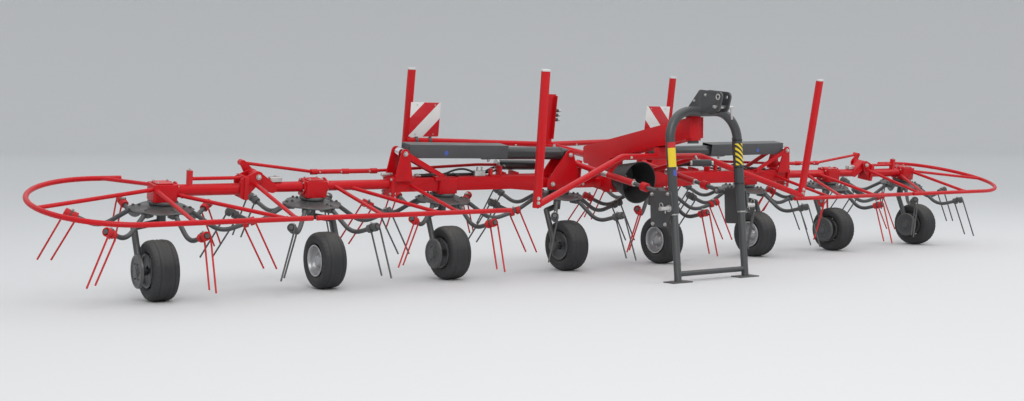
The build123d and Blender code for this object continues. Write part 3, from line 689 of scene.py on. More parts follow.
class Coats(Enum):
    """The machine's finishes, by the part that wears them."""

    RED = Finish("red_enamel", "red_paint", (0.56, 0.003, 0.008), 0.34, coat=0.08, specular=0.25,
                 dusting=0.01, wear=0.03)
    GRAPHITE = Finish("graphite_enamel", "graphite_paint", (0.052, 0.055, 0.057), 0.42, coat=0.12,
                      dusting=0.1, wear=0.08)
    BLACK = Finish("black_enamel", "black_paint", (0.022, 0.023, 0.025), 0.34, coat=0.2)
    COVER = Finish("cover_plastic", "cover_grey", (0.07, 0.073, 0.077), 0.48, dusting=0.16, wear=0.0,
                   fine=600.0, relief=0.00035)
    RUBBER = Finish("tyre_rubber_compound", "tyre_rubber", (0.036, 0.037, 0.039), 0.68, mottle=0.2,
                    dusting=0.16, wear=0.1, fine=420.0, relief=0.0004)
    HOSE = Finish("hose_rubber", "guard_black", (0.018, 0.018, 0.019), 0.5, wear=0.0, fine=500.0)
    PLASTIC = Finish("guard_plastic", "guard_black", (0.02, 0.021, 0.022), 0.45, wear=0.05, fine=700.0,
                     relief=0.0003)
    SILVER = Finish("silver_enamel", "rim_silver", (0.47, 0.48, 0.49), 0.36, metallic=0.55, wear=0.0,
                    mottle=0.12)
    ZINC = Finish("zinc_plate", "zinc_steel", (0.62, 0.62, 0.6), 0.34, metallic=0.9, wear=0.0,
                  patch_scale=40.0)
    CHROME = Finish("hard_chrome", "rod_steel", (0.72, 0.72, 0.73), 0.12, metallic=1.0, mottle=0.03,
                    dusting=0.02, wear=0.0, relief=0.00004)
    TINE_RED = Finish("red_spring_steel", "tine_red", (0.56, 0.005, 0.010), 0.4, specular=0.25,
                      dusting=0.01)
    TINE_GREY = Finish("grey_spring_steel", "tine_grey", (0.062, 0.065, 0.067), 0.44, dusting=0.08)
    CAP = Finish("pale_cap_plastic", "panel_white", (0.68, 0.69, 0.68), 0.5, fine=500.0)
    YELLOW = Finish("yellow_film", "panel_white", (0.83, 0.6, 0.02), 0.4, coat=0.3, mottle=0.05, wear=0.0)
    BLUE = Finish("blue_film", "panel_white", (0.05, 0.1, 0.42), 0.4, coat=0.3, mottle=0.05, wear=0.0)
    BOARD = Stripes("marker_film", "panel_white", (0.6, 0.01, 0.02), 0.36, coat=0.3, wear=0.0,
                    mottle=0.06, offset=0.2016, second=(0.82, 0.82, 0.8), fine=900.0)
    HAZARD = Stripes("hazard_film", "panel_white", (0.83, 0.6, 0.02), 0.4, coat=0.3, wear=0.0,
                     mottle=0.05, second=(0.02, 0.02, 0.02), band=0.014)


# --- Workshop -------------------------------------------------------------------------------


@dataclass
class Workshop:
    """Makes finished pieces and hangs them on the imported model's bodies."""

    frame: dict[str, Any]
    effects: Effects
    hinge_drop: float = 0.010
    datum_lead: float = 0.070
    merge_distance: float = 2e-5
    flat_angle: float = 1.0
    edge_angle: float = 38.0
    sharp_angle: float = 34.0
    machine: Place = field(init=False)
    level: Place = field(init=False)
    joints: dict[str, dict[str, Any]] = field(init=False)

    def __post_init__(self) -> None:
        """Find both frames.

        The machine frame stands above the middle of the wing hinges by the hinges' drop, square
        to the rotors' axes; the level frame stands on the ground, before it by the datum's lead.
        """
        self.joints = {joint["name"]: joint for joint in self.frame["joints"]}
        upward = unit(self.joints["rotor_4_spin"]["axis"])
        across = np.array((1.0, 0.0, 0.0))
        pins = [np.array(self.joints[f"wing_fold_{name}"]["pos_m"]) for name, _ in SIDES]
        middle = (pins[0] + pins[1]) / 2 + self.hinge_drop * upward
        self.machine = Place(middle, np.array((across, np.cross(upward, across), upward)))
        self.level = Place(np.array((0.0, middle[1] - self.datum_lead, 0.0)), np.eye(3))

    def piece(self, name: str, shape: Shape, coat: Coats, body: str,
              replaces: Sequence[str] = (), sharp: float = 32.0) -> bpy.types.Object:
        """Make a shape into a finished object.

        Args:
            name: the piece's name.
            shape: its surfaces.
            coat: its finish.
            body: the body that it rides on.
            replaces: the CAD nodes that it stands for.
            sharp: the angle in degrees past which an edge is sharp.

        Returns:
            The object.
        """
        return self.hang(name, shape.mesh(name, sharp), coat, body, replaces)

    def hang(self, name: str, mesh: bpy.types.Mesh, coat: Coats, body: str,
             replaces: Sequence[str]) -> bpy.types.Object:
        """Make an object of a mesh, dress it and put it on its body.

        Args:
            name: the object's name.
            mesh: its mesh.
            coat: its finish.
            body: the body that it rides on.
            replaces: the CAD nodes that it stands for.

        Returns:
            The object.
        """
        thing = bpy.data.objects.new(name, mesh)
        bpy.context.scene.collection.objects.link(thing)
        mesh.materials.clear()
        mesh.materials.append(coat.value.material(self.effects))
        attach(thing, body)
        if replaces:
            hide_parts(*replaces)
        LOG.info("%s: %d faces on %s", name, len(mesh.polygons), body)
        return thing

    def softened(self, node: str, coat: Coats, width: float = 0.002) -> bpy.types.Object:
        """Copy a CAD node, round its edges and dress it in the node's place.

        Args:
            node: the CAD node.
            coat: its finish.
            width: the width of its rounded edges.

        Returns:
            The object.
        """
        source = self.frame["nodes"][node]
        name = f"{node}_finished"
        work = bmesh.new()
        work.from_mesh(source.data)
        bmesh.ops.remove_doubles(work, verts=work.verts, dist=self.merge_distance)
        flat = radians(self.flat_angle)
        bmesh.ops.dissolve_limit(work, angle_limit=flat, verts=work.verts, edges=work.edges)
        rough = bpy.data.meshes.new(name)
        work.to_mesh(rough)
        work.free()
        draft = bpy.data.objects.new(name + "_draft", rough)
        bpy.context.scene.collection.objects.link(draft)
        bevel = draft.modifiers.new("edges", "BEVEL")
        bevel.width = width
        bevel.segments = 2
        bevel.limit_method = "ANGLE"
        bevel.angle_limit = radians(self.edge_angle)
        bevel.use_clamp_overlap = True
        view = bpy.context.evaluated_depsgraph_get()
        mesh = bpy.data.meshes.new_from_object(draft.evaluated_get(view))
        bpy.data.objects.remove(draft)
        mesh.name = name
        mesh.shade_smooth()
        mesh.set_sharp_from_angle(angle=radians(self.sharp_angle))
        return self.hang(name, mesh, coat, source["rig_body"], (node,))


# --- Rotors ---------------------------------------------------------------------------------


@dataclass
class Rotor:
    """A rotor: a domed hub plate, bent arms and a double spring tine on each."""

    number: int
    place: Place
    arm_count: int = 6
    red_angle: float = 38.0
    grey_angle: float = 52.0
    hub_profile: Outline = (
        (0.0306, -0.0860), (0.073, -0.0858), (0.078, -0.0885), (0.088, -0.0975),
        (0.108, -0.1010), (0.135, -0.1040), (0.165, -0.1070), (0.190, -0.1105),
        (0.202, -0.1150), (0.205, -0.1190), (0.201, -0.1240), (0.150, -0.1215),
        (0.090, -0.1240), (0.078, -0.1400), (0.060, -0.1490), (0.0306, -0.1500),
    )
    rib_start: float = 0.095
    rib_run: float = 0.08
    rib_swell: float = 0.006
    rib_height: float = 0.0035
    arm_radius: float = 0.016
    arm_root: float = 0.112
    arm_bend: float = 0.085
    arm_line: Outline = ((0.190, -0.129), (0.385, -0.262), (0.606, -0.168))
    clamp_low: Spot = (0.128, -0.027, -0.024)
    clamp_high: Spot = (0.196, 0.027, 0.011)
    clamp_bolts: Outline = ((0.143, -0.1035), (0.181, -0.10692))
    clamp_bolt: float = 0.011
    holder_low: Spot = (-0.031, -0.020, -0.0085)
    holder_high: Spot = (0.010, 0.020, 0.0085)
    holder_top: float = -0.030
    holder_bolt: float = 0.010
    coil_length: float = 0.092
    coil_radius: float = 0.024
    coil_turns: float = 3.2
    # Each half of a coil: the shares of its length where it starts and ends, and its tip's reach.
    coil_halves: tuple[Spot, ...] = ((0.06, 0.41, 0.680), (0.94, 0.59, 0.765))
    wire_radius: float = 0.0062
    finger_lead: float = 0.03
    finger_bend: float = 0.02
    tip_height: float = -0.497
    tip_lag: float = -0.010

    @property
    def red(self) -> bool:
        """Tell whether the tines are red, as on every second rotor."""
        return self.number % 2 == 1

    def arm_places(self) -> list[Place]:
        """Give each arm's frame: x outwards, y along the turning and z up.

        Returns:
            The frames, in the order of turning.
        """
        first = self.red_angle if self.red else self.grey_angle
        step = 360.0 / self.arm_count
        return [self.place.turned(radians(first + step * i)) for i in range(self.arm_count)]

    def hub(self) -> Shape:
        """Make the hub plate.

        Its profile is turned about the axis; towards the rim the height and radius swell with
        the cosine of six times the angle from the first arm, so that a shallow rib lies on each
        arm and the rim is scalloped.

        Returns:
            The plate with its arms.
        """
        profile = np.array(self.hub_profile)
        swell = np.clip((profile[:, :1] - self.rib_start) / self.rib_run, 0, 1)
        angle = np.linspace(0, 2 * pi, 96, endpoint=False)
        wave = np.cos(self.arm_count * angle)
        radius = profile[:, :1] + self.rib_swell * swell * wave
        height = profile[:, 1:] + self.rib_height * swell * wave
        points = np.stack([radius * np.cos(angle), radius * np.sin(angle), height], axis=-1)
        hub = Shape()
        hub.grid(self.arm_places()[0](points), wrap_first=True)
        for arm in self.arm_places():
            self._arm(hub, arm)
        return hub

    def _arm(self, hub: Shape, arm: Place) -> None:
        """Add an arm, its clamp under the hub plate and the tine's holder.

        Args:
            hub: the shape to add to.
            arm: the arm's frame.
        """
        _, bend_z = self.arm_line[0]
        line = [(self.arm_root, 0, bend_z), *((x, 0, z) for x, z in self.arm_line)]
        hub.tube(arm(rounded_path(line, self.arm_bend, 8)), self.arm_radius, 14)
        hub.box(self.clamp_low, self.clamp_high, arm.at(0, 0, bend_z), 0.006)
        for x, z in self.clamp_bolts:
            hub.bolt(arm.at(x, 0, z), self.clamp_bolt)
        holder = self._coil_place(arm).at(0, 0, self.coil_length / 2)
        hub.box(self.holder_low, self.holder_high, holder, 0.004)

    def _coil_place(self, arm: Place) -> Place:
        """Give the coil's frame: z outwards along the arm, x mostly down and y with the turning.

        Args:
            arm: the arm's frame.

        Returns:
            The frame.
        """
        _, elbow, end = self.arm_line
        run = unit((end[0] - elbow[0], 0.0, end[1] - elbow[1]))
        start = np.array((end[0], 0.0, end[1])) - run * self.coil_length
        axes = np.array(((run[2], 0.0, -run[0]), (0.0, 1.0, 0.0), run))
        return Place(arm(start), axes @ arm.axes)

    def tines(self) -> Shape:
        """Make the double tines.

        Each half is a helix, whose point at an angle is the coil radius times the sine along x
        and the cosine along y, plus the pitch times the angle along z. It ends at the side of the
        coil with the wire heading down, and runs on as a straight finger to its tip.

        Returns:
            The springs and fingers.
        """
        springs = Shape()
        angle = np.linspace(-2 * pi * self.coil_turns, 0, int(12 * self.coil_turns) + 1)
        across, along_turn = self.coil_radius * np.sin(angle), self.coil_radius * np.cos(angle)
        share = np.linspace(0, 1, len(angle))
        for arm in self.arm_places():
            coil = self._coil_place(arm)
            for outer, inner, reach in self.coil_halves:
                outwards = self.coil_length * (inner + (outer - inner) * share)
                helix = coil(np.column_stack([across, along_turn, outwards]))
                tip = arm((reach, self.tip_lag, self.tip_height))
                heading = unit(coil.axes[0] + unit(tip - helix[-1]))
                bend = helix[-1] + self.finger_lead * heading
                finger = rounded_path([helix[-2], bend, tip], self.finger_bend, 4)[1:]
                springs.tube(np.vstack([helix, finger]), self.wire_radius, 8)
        return springs

    def fittings(self) -> Shape:
        """Make the clamp bolt that holds each tine between its coils.

        Returns:
            The bolts.
        """
        bolts = Shape()
        for arm in self.arm_places():
            coil = self._coil_place(arm)
            down, along, out = coil.axes
            spot = coil((self.holder_top, 0.0, self.coil_length / 2))
            bolts.bolt(Place(spot, np.array((along, out, -down))), self.holder_bolt)
        return bolts

    def dress(self, shop: Workshop) -> None:
        """Hang the rotor's pieces on its body.

        Args:
            shop: the workshop that finishes and hangs the pieces.
        """
        body, tines = f"rotor_{self.number}", f"tines_{self.number}"
        coat = Coats.TINE_RED if self.red else Coats.TINE_GREY
        shop.piece(f"hub_and_arms_{self.number}", self.hub(), Coats.GRAPHITE, body, (body,))
        shop.piece(f"spring_tines_{self.number}", self.tines(), coat, body, (tines,), 50)
        shop.piece(f"tine_bolts_{self.number}", self.fittings(), Coats.ZINC, body)


# --- Wheels ---------------------------------------------------------------------------------


@dataclass
class Wheel:
    """A ribbed tyre on a dished rim, and the round plate outside its leg where there is one."""

    number: int
    centre: Array
    leg_side: float
    plated: bool
    tyre_radius: float = 0.200
    half_width: float = 0.084
    bead_radius: float = 0.1022
    tread_start: float = 0.188
    grooves: tuple[float, ...] = (-0.045, -0.0155, 0.0155, 0.045)
    groove_width: float = 0.0032
    groove_depth: float = 0.006
    wall_rings: Spot = (0.118, 0.124, 0.172)
    wall_ring_width: float = 0.0018
    wall_ring_swell: float = 0.022
    cut_count: int = 36
    cut_middle: float = 0.068
    cut_width: float = 0.009
    cut_start: float = 0.165
    cut_run: float = 0.015
    cut_depth: float = 0.0035
    steps_round: int = 120
    rim_profile: Outline = (
        (0.110, -0.082), (0.112, -0.079), (0.110, -0.076), (0.102, -0.075), (0.101, -0.06),
        (0.096, -0.035), (0.096, 0.035), (0.101, 0.06), (0.102, 0.075), (0.110, 0.076),
        (0.112, 0.079), (0.110, 0.082), (0.103, 0.081), (0.097, 0.071), (0.096, 0.060),
        (0.090, 0.036), (0.084, 0.029), (0.080, 0.031), (0.072, 0.027), (0.058, 0.030),
        (0.047, 0.036), (0.042, 0.047), (0.038, 0.049), (0.034, 0.058), (0.028, 0.061),
        (0.016, 0.062), (0.0153, 0.060), (0.0153, -0.044), (0.030, -0.044), (0.031, 0.010),
        (0.070, 0.014), (0.089, 0.018), (0.090, -0.060), (0.098, -0.080),
    )
    cap_profile: Outline = ((0.002, 0.0625), (0.010, 0.0622), (0.0150, 0.0605), (0.0151, 0.050),
                            (0.002, 0.050))
    # The dark dish's profile: a disc that paints the shade inside the rim on the leg side.
    shade_disc_profile: Outline = (
        (0.031, -0.0640), (0.0950, -0.0640), (0.0985, -0.0700), (0.1015, -0.0770),
        (0.1120, -0.0790), (0.1128, -0.0815), (0.1110, -0.0840), (0.1000, -0.0838),
        (0.0950, -0.0740), (0.0880, -0.0700), (0.031, -0.0700),
    )
    wheel_bolt_count: int = 5
    wheel_bolt_spot: Spot = (0.062, 0.0, 0.0285)
    wheel_bolt: float = 0.010
    plate_offset: float = 0.138
    plate_profile: Outline = (
        (0.004, 0.016), (0.026, 0.016), (0.030, 0.013), (0.040, 0.012), (0.046, 0.006),
        (0.084, 0.005), (0.090, 0.009), (0.104, 0.009), (0.110, 0.004), (0.112, -0.008),
        (0.109, -0.010), (0.104, 0.000), (0.060, 0.000), (0.004, 0.001),
    )
    plate_bolt_count: int = 6
    plate_bolt_spot: Spot = (0.056, 0.0, 0.005)
    plate_bolt: float = 0.007

    def place(self) -> Place:
        """Give the wheel's frame: z along the axle, away from the leg."""
        away = -self.leg_side
        return Place(self.centre, np.array(((0.0, 1.0, 0.0), (0.0, 0.0, away), (away, 0.0, 0.0))))

    def _section(self) -> tuple[Array, Array]:
        """Work out the tyre's section.

        It is a superellipse: across is the half width times the sine of the angle, and out is
        half the wall's height times its cosine, each to a power below one, which squares the
        shoulders. Each groove round the tread is a smooth dip in the radius, and each ring on
        the walls a smooth swell of the width.

        Returns:
            The distance across and the distance from the axle of each point.
        """
        middle = (self.tyre_radius + self.bead_radius) / 2
        half_height = (self.tyre_radius - self.bead_radius) / 2
        angle = np.linspace(0, 2 * pi, 96, endpoint=False)
        sine, cosine = np.sin(angle), np.cos(angle)
        width_power = np.where(cosine > 0, 0.62, 0.85)
        height_power = np.where(cosine > 0, 0.55, 0.8)
        across = self.half_width * np.sign(sine) * np.abs(sine) ** width_power
        out = middle + half_height * np.sign(cosine) * np.abs(cosine) ** height_power
        tread = np.clip((out - self.tread_start) / self.groove_depth, 0, 1)
        dips = sum(np.exp(-(((across - at) / self.groove_width) ** 2)) for at in self.grooves)
        out = out - self.groove_depth * tread * dips
        rings = sum(np.exp(-(((out - at) / self.wall_ring_width) ** 2)) for at in self.wall_rings)
        wall = np.abs(across) > 0.6 * self.half_width
        return across * (1 + self.wall_ring_swell * rings * wall), out

    def tyre(self) -> Shape:
        """Make the tyre: its section turned about the axle, with short cuts in the shoulders.

        A cut's depth is the clipped cosine of the number of cuts times the angle of turn, times
        a smooth hump about the middle of the shoulder.

        Returns:
            The tyre.
        """
        across, out = self._section()
        turn = np.linspace(0, 2 * pi, self.steps_round, endpoint=False)[None, :]
        shoulder = np.exp(-(((np.abs(across) - self.cut_middle) / self.cut_width) ** 2))
        shoulder = shoulder * np.clip((out - self.cut_start) / self.cut_run, 0, 1)
        cuts = np.clip(np.cos(self.cut_count * turn) * 2.5 - 0.9, 0, 1)
        radius = out[:, None] - self.cut_depth * shoulder[:, None] * cuts
        limit = np.minimum(radius, self.tyre_radius)
        points = np.stack(
            np.broadcast_arrays(limit * np.cos(turn), limit * np.sin(turn), across[:, None]), axis=-1
        )
        tyre = Shape()
        tyre.grid(self.place()(points), wrap_first=True)
        return tyre

    def rim(self) -> Shape:
        """Make the rim: a flanged well turned about the axle, a dished disc, hub and cap.

        Returns:
            The rim.
        """
        rim = Shape()
        rim.spin(self.rim_profile, self.place(), 72, closed=True)
        rim.spin(self.cap_profile, self.place(), 24, closed=True)
        return rim

    def back(self) -> Shape:
        """Make the dark dish that closes the rim towards its leg: a lipped disc about the axle, a dark
        sheet that stands in for the painted shade inside the rim's hollow.

        Returns:
            The dish.
        """
        back = Shape()
        back.spin(self.shade_disc_profile, self.place(), 64, closed=True)
        return back

    def bolts(self) -> Shape:
        """Make the wheel bolts round the hub.

        Returns:
            The bolts.
        """
        bolts = Shape()
        for i in range(self.wheel_bolt_count):
            spoke = self.place().turned(2 * pi * i / self.wheel_bolt_count)
            bolts.bolt(spoke.at(*self.wheel_bolt_spot), self.wheel_bolt)
        return bolts

    def plate(self) -> Shape:
        """Make the round plate outside the leg: a dished disc, a raised ring and six bolts.

        Returns:
            The plate.
        """
        plate = Shape()
        outside = self.place().at(0, 0, -self.plate_offset)
        flipped = Place(outside.origin, outside.axes * np.array(((1.0,), (-1.0,), (-1.0,))))
        plate.spin(self.plate_profile, flipped, 56, closed=True)
        for i in range(self.plate_bolt_count):
            spoke = flipped.turned(2 * pi * i / self.plate_bolt_count)
            plate.bolt(spoke.at(*self.plate_bolt_spot), self.plate_bolt)
        return plate

    def dress(self, shop: Workshop, carrier: str) -> None:
        """Hang the wheel's pieces on its body, and the plate on the body that carries the leg.

        Args:
            shop: the workshop that finishes and hangs the pieces.
            carrier: the body that carries the leg.
        """
        body = f"wheel_{self.number}"
        tyre, rim = f"tyre_{self.number}", f"rim_{self.number}"
        shop.piece(f"ribbed_tyre_{self.number}", self.tyre(), Coats.RUBBER, body, (tyre,), 60)
        shop.piece(f"dished_rim_{self.number}", self.rim(), Coats.SILVER, body, (rim,), 40)
        # Painted shade: a dark graphite dish that darkens the rim's hollow on the leg side, where there
        # is only shade.
        shop.piece(f"painted_shade_disc_{self.number}", self.back(), Coats.GRAPHITE, body, sharp=40)
        shop.piece(f"wheel_bolts_{self.number}", self.bolts(), Coats.ZINC, body)
        if self.plated:
            shop.piece(f"axle_plate_{self.number}", self.plate(), Coats.GRAPHITE, carrier)


# --- Beams and wings --------------------------------------------------------------------------


def weld_along(shape: Shape, place: Place, head: Point, foot: Point, depths: Sequence[float],
               radius: float) -> None:
    """Add a weld bead where a stay crosses each of some depths.

    A bead's spot is the head plus the share (depth - head's y) / (foot's y - head's y) of the run.

    Args:
        shape: the shape to add to.
        place: the frame of the points.
        head: the stay's upper end.
        foot: the stay's lower end.
        depths: the y of each bead.
        radius: the stay's radius.
    """
    start, run = np.asarray(head, float), np.subtract(foot, head)
    for depth in depths:
        shape.weld(place.facing(start + run * (depth - start[1]) / run[1], run), radius)


def ring(shape: Shape, place: Place, inner: float, outer: float, low: float, high: float,
         sides: int = 32) -> None:
    """Add a flat ring about a place's z, with small chamfers outside.

    Args:
        shape: the shape to add to.
        place: the frame of the ring.
        inner: the bore's radius.
        outer: the outer radius.
        low: where the ring starts on the place's z.
        high: where it ends.
        sides: steps round.
    """
    edge = min(0.0015, 0.3 * (high - low))
    shape.spin(((inner, low), (outer - edge, low), (outer, low + edge), (outer, high - edge),
                (outer - edge, high), (inner, high)), place, sides, closed=True)


@dataclass
class Gearbox:
    """The trimmings of a rotor's gearbox: the collar round its neck, its lid and tube flanges."""

    number: int
    place: Place
    body: str
    flange_sides: tuple[float, ...]
    tube_height: float
    lidded: bool
    collar: Outline = ((0.0765, -0.0835), (0.087, -0.0835), (0.090, -0.080), (0.090, -0.071),
                       (0.081, -0.0634), (0.0765, -0.0634))
    lid_low: Spot = (-0.060, -0.056, 0.0503)
    lid_high: Spot = (0.060, 0.056, 0.0585)
    lid_corner: float = 0.014
    lid_bolt_spots: Outline = ((-0.047, -0.043), (0.047, -0.043), (0.047, 0.043), (-0.047, 0.043))
    lid_bolt: float = 0.008
    flange_face: float = 0.0803
    flange_bore: float = 0.041
    flange_radius: float = 0.060
    flange_thickness: float = 0.011
    flange_bolt_circle: float = 0.0505
    flange_bolt: float = 0.0065
    flange_bolt_count: int = 6

    def dress(self, shop: Workshop) -> None:
        """Hang the collar, the lid, the flanges and their bolts.

        Args:
            shop: the workshop that finishes and hangs the pieces.
        """
        collar, trim, bolts = Shape(), Shape(), Shape()
        collar.spin(self.collar, self.place, 48, closed=True)
        shop.piece(f"neck_collar_{self.number}", collar, Coats.GRAPHITE, self.body)
        if self.lidded:
            trim.box(self.lid_low, self.lid_high, self.place, self.lid_corner)
            for x, y in self.lid_bolt_spots:
                bolts.bolt(self.place.at(x, y, self.lid_high[2]), self.lid_bolt)
        for side in self.flange_sides:
            root = self.place.facing((side * self.flange_face, 0, self.tube_height), (side, 0, 0))
            ring(trim, root, self.flange_bore, self.flange_radius, 0.0, self.flange_thickness, 40)
            for i in range(self.flange_bolt_count):
                spoke = root.turned(2 * pi * (i + 0.5) / self.flange_bolt_count)
                bolts.bolt(spoke.at(self.flange_bolt_circle, 0, self.flange_thickness), self.flange_bolt)
        if trim.count:
            shop.piece(f"gearbox_lid_{self.number}", trim, Coats.RED, self.body)
            shop.piece(f"gearbox_bolts_{self.number}", bolts, Coats.ZINC, self.body)


@dataclass
class WingBeam:
    """The welds, nuts, stop and outer hinge of one side's beams; x runs outwards."""

    name: str
    place: Place
    cylinder_pin: tuple[float, float] = (1.975, 0.242)
    lever_face: float = 0.0763
    tip_pin: tuple[float, float] = (3.100, 0.090)
    tip_ear_faces: tuple[float, float] = (-0.0663, 0.1003)
    pin_nut: float = 0.017
    rail: tuple[float, float] = (-0.718, -0.055)
    rail_radius: float = 0.017
    stay_radius: float = 0.0135
    # Each stay: x, y and z of its head, x of its foot on the rail, and y where it meets the beam.
    wing_stays: tuple[tuple[float, ...], ...] = (
        (1.900, -0.020, 0.005, 1.892, -0.0505),
        (2.500, -0.010, 0.006, 2.483, -0.0370),
        (2.370, -0.010, -0.008, 2.040, -0.0345),
    )
    tip_stays: tuple[tuple[float, ...], ...] = (
        (3.680, -0.010, -0.020, 3.160, -0.0760),
        (3.124, -0.054, 0.045, 3.110, -0.0640),
        (3.800, -0.050, 0.015, 3.780, -0.0770),
    )
    flange: float = 2.050
    flange_half: float = 0.0143
    flange_bolt_depth: float = 0.058
    flange_bolt_heights: tuple[float, ...] = (-0.082, -0.055, 0.050)
    flange_bolt: float = 0.010
    stop_start: Spot = (2.030, 0.0, 0.0785)
    stop_end: Spot = (2.120, 0.0, 0.0785)
    stop_radius: float = 0.013
    bumper_low: Spot = (2.905, -0.024, 0.0425)
    bumper_high: Spot = (2.995, 0.024, 0.0780)
    post_top: Spot = (3.560, 0.0, 0.1322)
    post_bolt: float = 0.012

    def dress(self, shop: Workshop) -> None:
        """Hang the welds and nuts on the wing and on the tip, and the hoses on the wing.

        Args:
            shop: the workshop that finishes and hangs the pieces.
        """
        wing, tip = f"wing_{self.name}", f"tip_{self.name}"
        rows = (("wing_welds", self.wing_stays, wing), ("tip_welds", self.tip_stays, tip))
        for label, stays, body in rows:
            shop.piece(f"{label}_{self.name}", self._stay_welds(stays), Coats.RED, body, sharp=60)
        shop.piece(f"wing_nuts_{self.name}", self._nuts(), Coats.ZINC, wing)
        WingHydraulics(self.name, self.place).dress(shop)
        post = Shape()
        post.bolt(self.place.at(*self.post_top), self.post_bolt)
        shop.piece(f"post_bolt_{self.name}", post, Coats.ZINC, tip)

    def _stay_welds(self, stays: Sequence[tuple[float, ...]]) -> Shape:
        """Make the weld beads at both ends of each stay.

        Args:
            stays: the rows of the stays.

        Returns:
            The beads.
        """
        beads = Shape()
        rail_y, rail_z = self.rail
        for x, y, z, foot_x, edge in stays:
            depths = (edge, rail_y + self.rail_radius)
            weld_along(beads, self.place, (x, y, z), (foot_x, rail_y, rail_z), depths, self.stay_radius)
        return beads

    def _nuts(self) -> Shape:
        """Make the nuts on the hinge and cylinder pins, the flange's bolts, the stop and bumper.

        Returns:
            The nuts.
        """
        nuts = Shape()
        pins = [(*self.cylinder_pin, face) for face in (self.lever_face, -self.lever_face)]
        pins += [(*self.tip_pin, face) for face in self.tip_ear_faces]
        for x, z, face in pins:
            toward = 1.0 if face > 0 else -1.0
            nuts.bolt(self.place.facing((x, face, z), (0, toward, 0)), self.pin_nut)
        for toward in (-1.0, 1.0):
            for y in (-self.flange_bolt_depth, self.flange_bolt_depth):
                for z in self.flange_bolt_heights:
                    spot = (self.flange + toward * self.flange_half, y, z)
                    nuts.bolt(self.place.facing(spot, (toward, 0, 0)), self.flange_bolt)
        nuts.rod(self.place(self.stop_start), self.place(self.stop_end), self.stop_radius)
        nuts.box(self.bumper_low, self.bumper_high, self.place, 0.006)
        middle = (self.bumper_low[0] + self.bumper_high[0]) / 2
        nuts.bolt(self.place.at(middle, 0, self.bumper_high[2]), self.flange_bolt)
        return nuts


@dataclass
class WingHydraulics:
    """The hoses on one side's beam, with their valve block, unions, clips and bracket."""

    name: str
    place: Place
    hose_radius: float = 0.0082
    hose_lines: tuple[tuple[Spot, ...], ...] = (
        ((1.000, 0.066, 0.112), (1.030, 0.052, 0.112), (1.060, 0.044, 0.100), (1.130, 0.040, 0.070),
         (1.310, 0.036, 0.0645), (1.500, 0.034, 0.0645), (1.790, 0.030, 0.0645)),
        ((1.102, 0.030, 0.112), (1.150, 0.024, 0.112), (1.210, 0.018, 0.076), (1.300, 0.014, 0.0645),
         (1.560, 0.014, 0.0645)),
        ((1.330, -0.006, 0.085), (1.420, -0.006, 0.118), (1.520, 0.000, 0.100), (1.600, -0.010, 0.0655),
         (1.800, -0.012, 0.0645)),
    )
    clip_stations: tuple[float, ...] = (1.480, 1.680)
    clip_low: Spot = (-0.008, -0.026, 0.0553)
    clip_high: Spot = (0.008, 0.047, 0.0745)
    valve_low: Spot = (1.235, -0.030, 0.0553)
    valve_high: Spot = (1.330, 0.004, 0.100)
    # Each union: its start, its end and its radius.
    unions: tuple[tuple[Spot, Spot, float], ...] = (
        ((1.260, -0.013, 0.098), (1.260, -0.013, 0.126), 0.010),
        ((1.300, -0.013, 0.098), (1.300, -0.013, 0.126), 0.010),
        ((1.102, 0.030, 0.112), (1.126, 0.027, 0.112), 0.0105),
        ((1.786, 0.030, 0.0655), (1.828, 0.030, 0.0655), 0.0098),
        ((1.796, -0.012, 0.0655), (1.838, -0.012, 0.0655), 0.0098),
        ((1.556, 0.014, 0.0655), (1.598, 0.014, 0.0655), 0.0098),
        ((1.000, 0.083, 0.113), (1.000, 0.062, 0.113), 0.0105),
    )
    gland: tuple[Spot, Spot] = ((1.028, 0.120, 0.1151), (1.044, 0.120, 0.1154))
    gland_radius: float = 0.0415
    # Each plate of the bracket: its lowest corner, its highest corner and its corners' radius.
    bracket: tuple[tuple[Spot, Spot, float], ...] = (
        ((1.085, -0.034, 0.0553), (1.100, 0.032, 0.132), 0.003),
        ((1.100, -0.034, 0.0553), (1.190, 0.004, 0.063), 0.003),
        ((1.165, -0.030, 0.0630), (1.190, 0.000, 0.112), 0.004),
    )

    def dress(self, shop: Workshop) -> None:
        """Hang the hoses, their metal ends and the bracket on the wing.

        Args:
            shop: the workshop that finishes and hangs the pieces.
        """
        wing = f"wing_{self.name}"
        shop.piece(f"wing_hoses_{self.name}", self._hoses(), Coats.HOSE, wing, sharp=60)
        shop.piece(f"hose_fittings_{self.name}", self._metal(), Coats.ZINC, wing)
        plates = Shape()
        for low, high, corner in self.bracket:
            plates.box(low, high, self.place, corner)
        shop.piece(f"hose_block_{self.name}", plates, Coats.RED, wing)

    def _hoses(self) -> Shape:
        """Make the hoses from the outer cylinder along the top of the beam, and their clips.

        Returns:
            The hoses.
        """
        hoses = Shape()
        for line in self.hose_lines:
            hoses.tube(self.place(smooth_path(line, 7)), self.hose_radius, 10)
        for x in self.clip_stations:
            hoses.box(self.clip_low, self.clip_high, self.place.at(x, 0, 0), 0.003)
        return hoses

    def _metal(self) -> Shape:
        """Make the valve block, the unions and the outer cylinder's gland.

        Returns:
            The metal pieces.
        """
        metal = Shape()
        metal.box(self.valve_low, self.valve_high, self.place, 0.004)
        for start, end, radius in self.unions:
            metal.rod(self.place(start), self.place(end), radius, 6)
        start, end = self.gland
        metal.rod(self.place(start), self.place(end), self.gland_radius, 28)
        return metal


